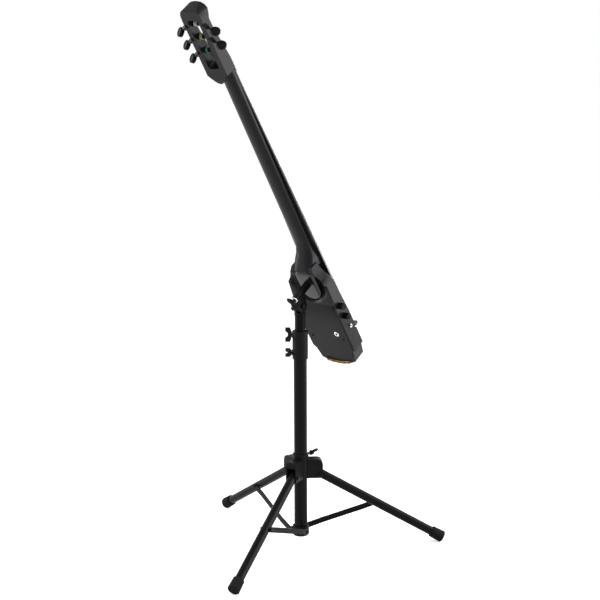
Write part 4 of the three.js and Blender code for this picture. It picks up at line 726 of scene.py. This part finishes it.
# %% The tuner keys
TREBLE_KEYS, TREBLE_KEY_TURN = (1, 2, 3), math.radians(-35)
to_back = along_cello((0, 1, 0))
for number in range(1, 6):
    joint = joints[f"key_{number}_turn"]
    body, node = f"key_body_{number}", f"tuner_key_{number}"
    base, outward = np.array(joint["pos_m"]), np.array(joint["axis"])
    outward /= np.linalg.norm(outward)
    mesh = mesh_of(f"{node}_stem", turned(STEM, base, outward, FEW_SIDES))
    piece_from(f"{node}_stem", mesh, FINISHES["black_metal"], body, [node])
    face = np.cross(outward, to_back)
    if number in TREBLE_KEYS:
        face = face * math.cos(TREBLE_KEY_TURN) - to_back * math.sin(TREBLE_KEY_TURN)
    middle = base + outward * KEY_REACH * MM
    mesh = mesh_of(f"{node}_button", turned(button_profile(), middle, face))
    piece_from(f"{node}_button", mesh, FINISHES["black_metal"], body, [node])
    print(node, "points", [round(float(value), 2) for value in outward])

# %% [markdown]
# The two knobs are turned caps with fine knurling round the skirt, which a wave on the radius makes
# as real ridges rather than as a bump. A smooth band and a chamfer are left at the outer end.

# %% The knobs
KNOB_RADIUS, KNOB_LENGTH, KNOB_SHAFT, KNOB_SHAFT_INTO = 7.5, 12.0, 3.0, 0.5
KNOB_BACK_EDGE, KNOB_EDGE, KNOB_RIM, KNOB_DISH = 0.3, 1.2, 2.0, 0.4
KNURLS, KNURL_DEPTH, POINTS_PER_KNURL = 36, 0.035, 6
KNURL_FROM, KNURL_TO, KNURL_STEP = 1.2, KNOB_LENGTH - 2.4, 0.01
KNURL_FIRST, KNURL_LAST, KNURL_RINGS = 1.5, 9.5, 12


def knurl(angle, distance):
    """On the knurled stretch the radius is multiplied by 1 - depth x (1 - cos(ridges x angle)) / 2."""
    inside = (distance > KNURL_FROM * MM) & (distance < KNURL_TO * MM)
    return 1 - KNURL_DEPTH * (0.5 - 0.5 * np.cos(KNURLS * angle)) * inside


CAP = [(0, 0), (KNOB_RADIUS - KNOB_BACK_EDGE, 0), (KNOB_RADIUS, KNOB_BACK_EDGE),
       (KNOB_RADIUS, KNURL_FROM), (KNOB_RADIUS, KNURL_FROM + KNURL_STEP)]
CAP += [(KNOB_RADIUS, distance)
        for distance in np.linspace(KNURL_FIRST, KNURL_LAST, KNURL_RINGS)]
CAP += [(KNOB_RADIUS, KNURL_TO + KNURL_STEP), (KNOB_RADIUS, KNOB_LENGTH - KNOB_EDGE),
        (KNOB_RADIUS - KNOB_EDGE, KNOB_LENGTH), (KNOB_RADIUS - KNOB_RIM, KNOB_LENGTH),
        (KNOB_RADIUS - KNOB_RIM - KNOB_DISH, KNOB_LENGTH - KNOB_DISH), (0, KNOB_LENGTH - KNOB_DISH)]
for node, body in (("volume_knob", "volume"), ("tone_knob", "tone")):
    low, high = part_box(node)
    outward, tip = (np.array(joints[f"{body}_turn"][key]) for key in ("axis", "pos_m"))
    tip[0] = low.x
    root = tip - outward * KNOB_LENGTH * MM
    mesh = mesh_of(f"{node}_cap", turned(CAP, root, outward, KNURLS * POINTS_PER_KNURL, knurl))
    piece_from(f"{node}_cap", mesh, FINISHES["black_metal"], body, [node])
    inside = (high.x - root[0]) / MM
    shaft = [(0, -inside), (KNOB_SHAFT, -inside), (KNOB_SHAFT, KNOB_SHAFT_INTO), (0, KNOB_SHAFT_INTO)]
    mesh = mesh_of(f"{node}_shaft", turned(shaft, root, outward, FEW_SIDES))
    piece_from(f"{node}_shaft", mesh, FINISHES["bolt_steel"], body, [node])
    print(node, "ridges", KNURLS, "shaft", round(inside, 1), "mm inside")

# %% [markdown]
# The output jack is a chrome ring with a rounded lip round a deep dark hole. The hole is real
# geometry, so it darkens by itself.

# %% The output jack
JACK_PLACE = (-33.7, 72.3, 18.0)
JACK_HOLE, JACK_HOLE_DEPTH, JACK_HOLE_EDGE, JACK_FACE = 3.4, 17.0, 0.4, 2.0
JACK_FLAT_TO, JACK_LIP, JACK_SLEEVE, JACK_END, JACK_LIP_POINTS = 5.6, 1.0, 4.8, 20.0, 6
lip = np.linspace(0, math.pi / 2, JACK_LIP_POINTS)
jack = [(0, -JACK_HOLE_DEPTH), (JACK_HOLE, -JACK_HOLE_DEPTH), (JACK_HOLE, JACK_FACE - JACK_HOLE_EDGE),
        (JACK_HOLE + JACK_HOLE_EDGE, JACK_FACE), (JACK_FLAT_TO, JACK_FACE)]
jack += list(zip(JACK_FLAT_TO + JACK_LIP * np.sin(lip), JACK_FACE - JACK_LIP + JACK_LIP * np.cos(lip)))
jack += [(JACK_FLAT_TO + JACK_LIP, 0), (JACK_SLEEVE, 0), (JACK_SLEEVE, -JACK_END), (0, -JACK_END)]
mesh = mesh_of("output_jack_turned", turned(jack, on_cello(JACK_PLACE), to_back))
piece_from(mesh.name, mesh, FINISHES["chrome_trim"], "cello", ["output_jack"])
print("jack faces", len(mesh.polygons))

# %% [markdown]
# The stand is made of drawn tube. The wall's edges are bevelled at both ends, so each profile runs
# up the outside, over the lip and down the bore, and closes on itself at the start.

# %% The pole's tubes
UP = (0, 0, 1)
OUTER_TUBE, OUTER_WALL, OUTER_LOW, OUTER_HIGH = 15.0, 1.6, 30.0, 484.0
INNER_TUBE, INNER_WALL, INNER_LOW, INNER_HIGH = 12.0, 1.5, 300.0, 541.0
GUIDE_RADIUS, GUIDE_TOP = 13.1, 314.0


def tube_profile(outer, wall, low, high, lip_mm=0.5):
    """Outside, bevelled lip, bore and the lip at the other end, as one closed loop."""
    bore = outer - wall
    return [(outer - lip_mm, low), (outer, low + lip_mm), (outer, high - lip_mm),
            (outer - lip_mm, high), (bore + lip_mm, high), (bore, high - lip_mm),
            (bore, low + lip_mm), (bore + lip_mm, low), (outer - lip_mm, low)]


def ring_mesh(name, grid):
    """A closed loop turned about an axis: the lids that a solid bar needs are taken out again."""
    mesh = mesh_of(name, grid)
    shape = bmesh.new()
    shape.from_mesh(mesh)
    lids = [face for face in shape.faces if len(face.verts) > 4]
    bmesh.ops.delete(shape, geom=lids, context="FACES")
    bmesh.ops.recalc_face_normals(shape, faces=shape.faces)
    shape.to_mesh(mesh)
    shape.free()
    return mesh


outer = tube_profile(OUTER_TUBE, OUTER_WALL, OUTER_LOW, OUTER_HIGH)
mesh = ring_mesh("centre_tube_drawn", turned(outer, POLE, UP, MANY_SIDES))
piece_from(mesh.name, mesh, FINISHES["black_metal"], "base", ["centre_tube"])
inner = [(GUIDE_RADIUS, INNER_LOW), (GUIDE_RADIUS, GUIDE_TOP), (INNER_TUBE, GUIDE_TOP)]
inner += tube_profile(INNER_TUBE, INNER_WALL, INNER_LOW, INNER_HIGH)[2:7]
inner += [(INNER_TUBE - INNER_WALL, INNER_LOW), (GUIDE_RADIUS, INNER_LOW)]
mesh = ring_mesh("inner_tube_drawn", turned(inner, POLE, UP, MANY_SIDES))
piece_from(mesh.name, mesh, FINISHES["black_metal"], "post", ["inner_tube"])
print("overlap of the tubes", OUTER_HIGH - INNER_LOW, "mm")

# %% [markdown]
# A foot ends where its lowest edge reaches the floor. That place on the leg's line follows from the
# pivot's height, the foot's radius, the depth of the flat under it and the leg's slope.

# %% The shape of a foot
LEG_SLOPE = math.radians(29.8)
LEG_RADIUS, LEG_WALL, LEG_INNER_END, LEG_PIVOT_HEIGHT = 10.0, 1.4, 10.0, 175.0
FOOT_SOLID_RADIUS, FOOT_RADIUS, FOOT_LEAST, FOOT_START_EDGE = 14.0, 13.7, 12.8, 0.3
FOOT_CHAMFER, FOOT_LENGTH, FOOT_TIP, FOOT_SHORTER, FOOT_FACET = 1.5, 29.0, 6.0, 0.15, 0.5
GROOVES, GROOVE_DEPTH, GROOVE_FROM, SMOOTH_SHARE, FOOT_RINGS = 4, 0.55, 0.45, 0.12, 90
foot_rise = LEG_PIVOT_HEIGHT + FOOT_FACET - FOOT_SOLID_RADIUS * math.cos(LEG_SLOPE)
foot_end = foot_rise / math.sin(LEG_SLOPE) + FOOT_CHAMFER - FOOT_SHORTER
foot_start = foot_end - FOOT_LENGTH


def foot_profile():
    """A cone whose radius dips by depth x (sin(grooves x full turn x share) - a level) where that is
    more than nothing, with a plain stretch at its start and a chamfer at its end."""
    distance = np.linspace(foot_start, foot_end - FOOT_CHAMFER, FOOT_RINGS)
    share = (distance - foot_start) / (FOOT_LENGTH - FOOT_CHAMFER)
    radius = FOOT_LEAST + (FOOT_RADIUS - FOOT_LEAST) * share
    dip = np.clip(np.sin(share * GROOVES * 2 * math.pi) - GROOVE_FROM, 0, 1)
    outside = np.stack([radius - GROOVE_DEPTH * dip * (share > SMOOTH_SHARE), distance], -1)
    return np.concatenate([[(LEG_RADIUS + FOOT_START_EDGE, foot_start)], outside,
                           [(FOOT_RADIUS - FOOT_CHAMFER, foot_end), (0, foot_end)]])


print("a foot ends", round(foot_end, 1), "mm from the leg's pivot")

# %% [markdown]
# Each leg is a tube from its pivot to its foot, with the rivet of its strut. No point of a foot goes
# below the floor.

# %% The legs
RIVET = ((0, 9.3), (3.6, 9.3), (3.6, 11.2), (3.3, 11.8), (2.6, 12.0), (0, 12.0))
RIVET_ALONG = 155.6
LOWEST_PLACE = (-9, -9, 0)
loop = tube_profile(LEG_RADIUS, LEG_WALL, -LEG_INNER_END, foot_end - FOOT_TIP)
for number in range(1, 4):
    joint, body = joints[f"leg_{number}_fold"], f"leg_body_{number}"
    pivot, (round_x, round_y) = np.array(joint["pos_m"]), joint["axis"][:2]
    down = np.array([round_y * math.cos(LEG_SLOPE), -round_x * math.cos(LEG_SLOPE),
                     -math.sin(LEG_SLOPE)])
    mesh = ring_mesh(f"leg_{number}_drawn", turned(loop, pivot, down))
    piece_from(mesh.name, mesh, FINISHES["black_metal"], body, [f"leg_{number}"])
    place, facing = pivot + down * RIVET_ALONG * MM, (-round_x, -round_y, 0)
    mesh = mesh_of(f"leg_{number}_rivet", turned(RIVET, place, facing, FEW_SIDES))
    piece_from(mesh.name, mesh, FINISHES["black_metal"], body, [f"leg_{number}"])
    foot = np.maximum(turned(foot_profile(), pivot, down, MANY_SIDES), LOWEST_PLACE)
    mesh = mesh_of(f"foot_{number}_moulded", foot)
    piece_from(mesh.name, mesh, FINISHES["foot_rubber"], body, [f"foot_{number}"])
    print(body, "points down to", (pivot + down * foot_end * MM).round(3))

# %% [markdown]
# The object stands in a plain pale studio. The surroundings show white to the camera and in polished
# metal, and give only a plain level of light.

# %% The surroundings
WHITE = (1, 1, 1, 1)
WORLD_STRENGTH = 0.55


def shows_white(tree, plain, white):
    """Camera, glossy and transmission rays see the white shader, and all other light the plain one."""
    path = tree.nodes.new("ShaderNodeLightPath").outputs
    either, any_of = (tree.nodes.new("ShaderNodeMath") for _ in range(2))
    for largest, pair in ((either, (path["Is Camera Ray"], path["Is Glossy Ray"])),
                          (any_of, (either.outputs[0], path["Is Transmission Ray"]))):
        largest.operation = "MAXIMUM"
        for socket, value in zip(largest.inputs, pair):
            feed(tree, socket, value)
    mix = tree.nodes.new("ShaderNodeMixShader")
    for socket, value in zip(mix.inputs, (any_of.outputs[0], plain, white)):
        feed(tree, socket, value)
    return mix.outputs[0]


world = bpy.data.worlds.new("studio")
bpy.context.scene.world = world
world.use_nodes = True
tree = world.node_tree
plain, white = tree.nodes["Background"], tree.nodes.new("ShaderNodeBackground")
plain.inputs["Color"].default_value = WHITE
plain.inputs["Strength"].default_value = WORLD_STRENGTH
white.inputs["Color"].default_value = WHITE
feed(tree, tree.nodes["World Output"].inputs["Surface"],
     shows_white(tree, plain.outputs[0], white.outputs[0]))
print("surroundings at", WORLD_STRENGTH)

# %% [markdown]
# The floor is matt paper. To the camera it glows a little, so that it runs into the white behind it
# without an edge and still shows soft shadows.

# %% The floor
PAPER, PAPER_ROUGHNESS, PAPER_GLOW = (0.93, 0.93, 0.93, 1), 0.9, 0.45
FLOOR_HALF = 30.0
paper = bpy.data.materials.new("studio floor")
paper.use_nodes = True
tree = paper.node_tree
matt, glow = tree.nodes["Principled BSDF"], tree.nodes.new("ShaderNodeEmission")
matt.inputs["Base Color"].default_value = PAPER
matt.inputs["Roughness"].default_value = PAPER_ROUGHNESS
glow.inputs["Strength"].default_value = PAPER_GLOW
lit = tree.nodes.new("ShaderNodeAddShader")
feed(tree, lit.inputs[0], matt.outputs[0])
feed(tree, lit.inputs[1], glow.outputs[0])
feed(tree, tree.nodes["Material Output"].inputs["Surface"],
     shows_white(tree, matt.outputs[0], lit.outputs[0]))
sheet = bpy.data.meshes.new("floor")
sheet.from_pydata([(x, y, 0) for x, y in (
    (-FLOOR_HALF, -FLOOR_HALF), (FLOOR_HALF, -FLOOR_HALF), (FLOOR_HALF, FLOOR_HALF),
    (-FLOOR_HALF, FLOOR_HALF))], [], [(0, 1, 2, 3)])
sheet.materials.append(paper)
floor = bpy.data.objects.new("floor", sheet)
bpy.context.scene.collection.objects.link(floor)
print("floor", 2 * FLOOR_HALF, "m across")

# %% [markdown]
# Large soft lamps to both sides draw the long highlights that make a black surface readable. One
# above and a narrow one in front add a little light where those two don't reach.

# %% The lamps
LAMPS = (
    # name, place, size across and up, watts
    ("left softbox", (2.2, 1.36, 1.1), (1.2, 2.4), 60),
    ("right softbox", (-1.95, -1.7, 1.3), (1.6, 2.4), 80),
    ("top softbox", (-1.2, 1.2, 3.2), (1.2, 1.2), 20),
    ("front fill", (-3.2, 1.2, 1.8), (0.5, 1.6), 8),
)
LIT_PLACE = Vector((0, 0, 0.6))
for name, place, size, watts in LAMPS:
    lamp = bpy.data.lights.new(name, "AREA")
    lamp.shape = "RECTANGLE"
    lamp.size, lamp.size_y = size
    lamp.energy = watts
    holder = bpy.data.objects.new(name, lamp)
    bpy.context.scene.collection.objects.link(holder)
    aim = LIT_PLACE - Vector(place)
    facing = aim.to_track_quat("-Z", "Y").to_matrix().to_4x4()
    holder.matrix_world = Matrix.Translation(place) @ facing
    print(name, watts, "W", round(aim.length, 2), "m away")
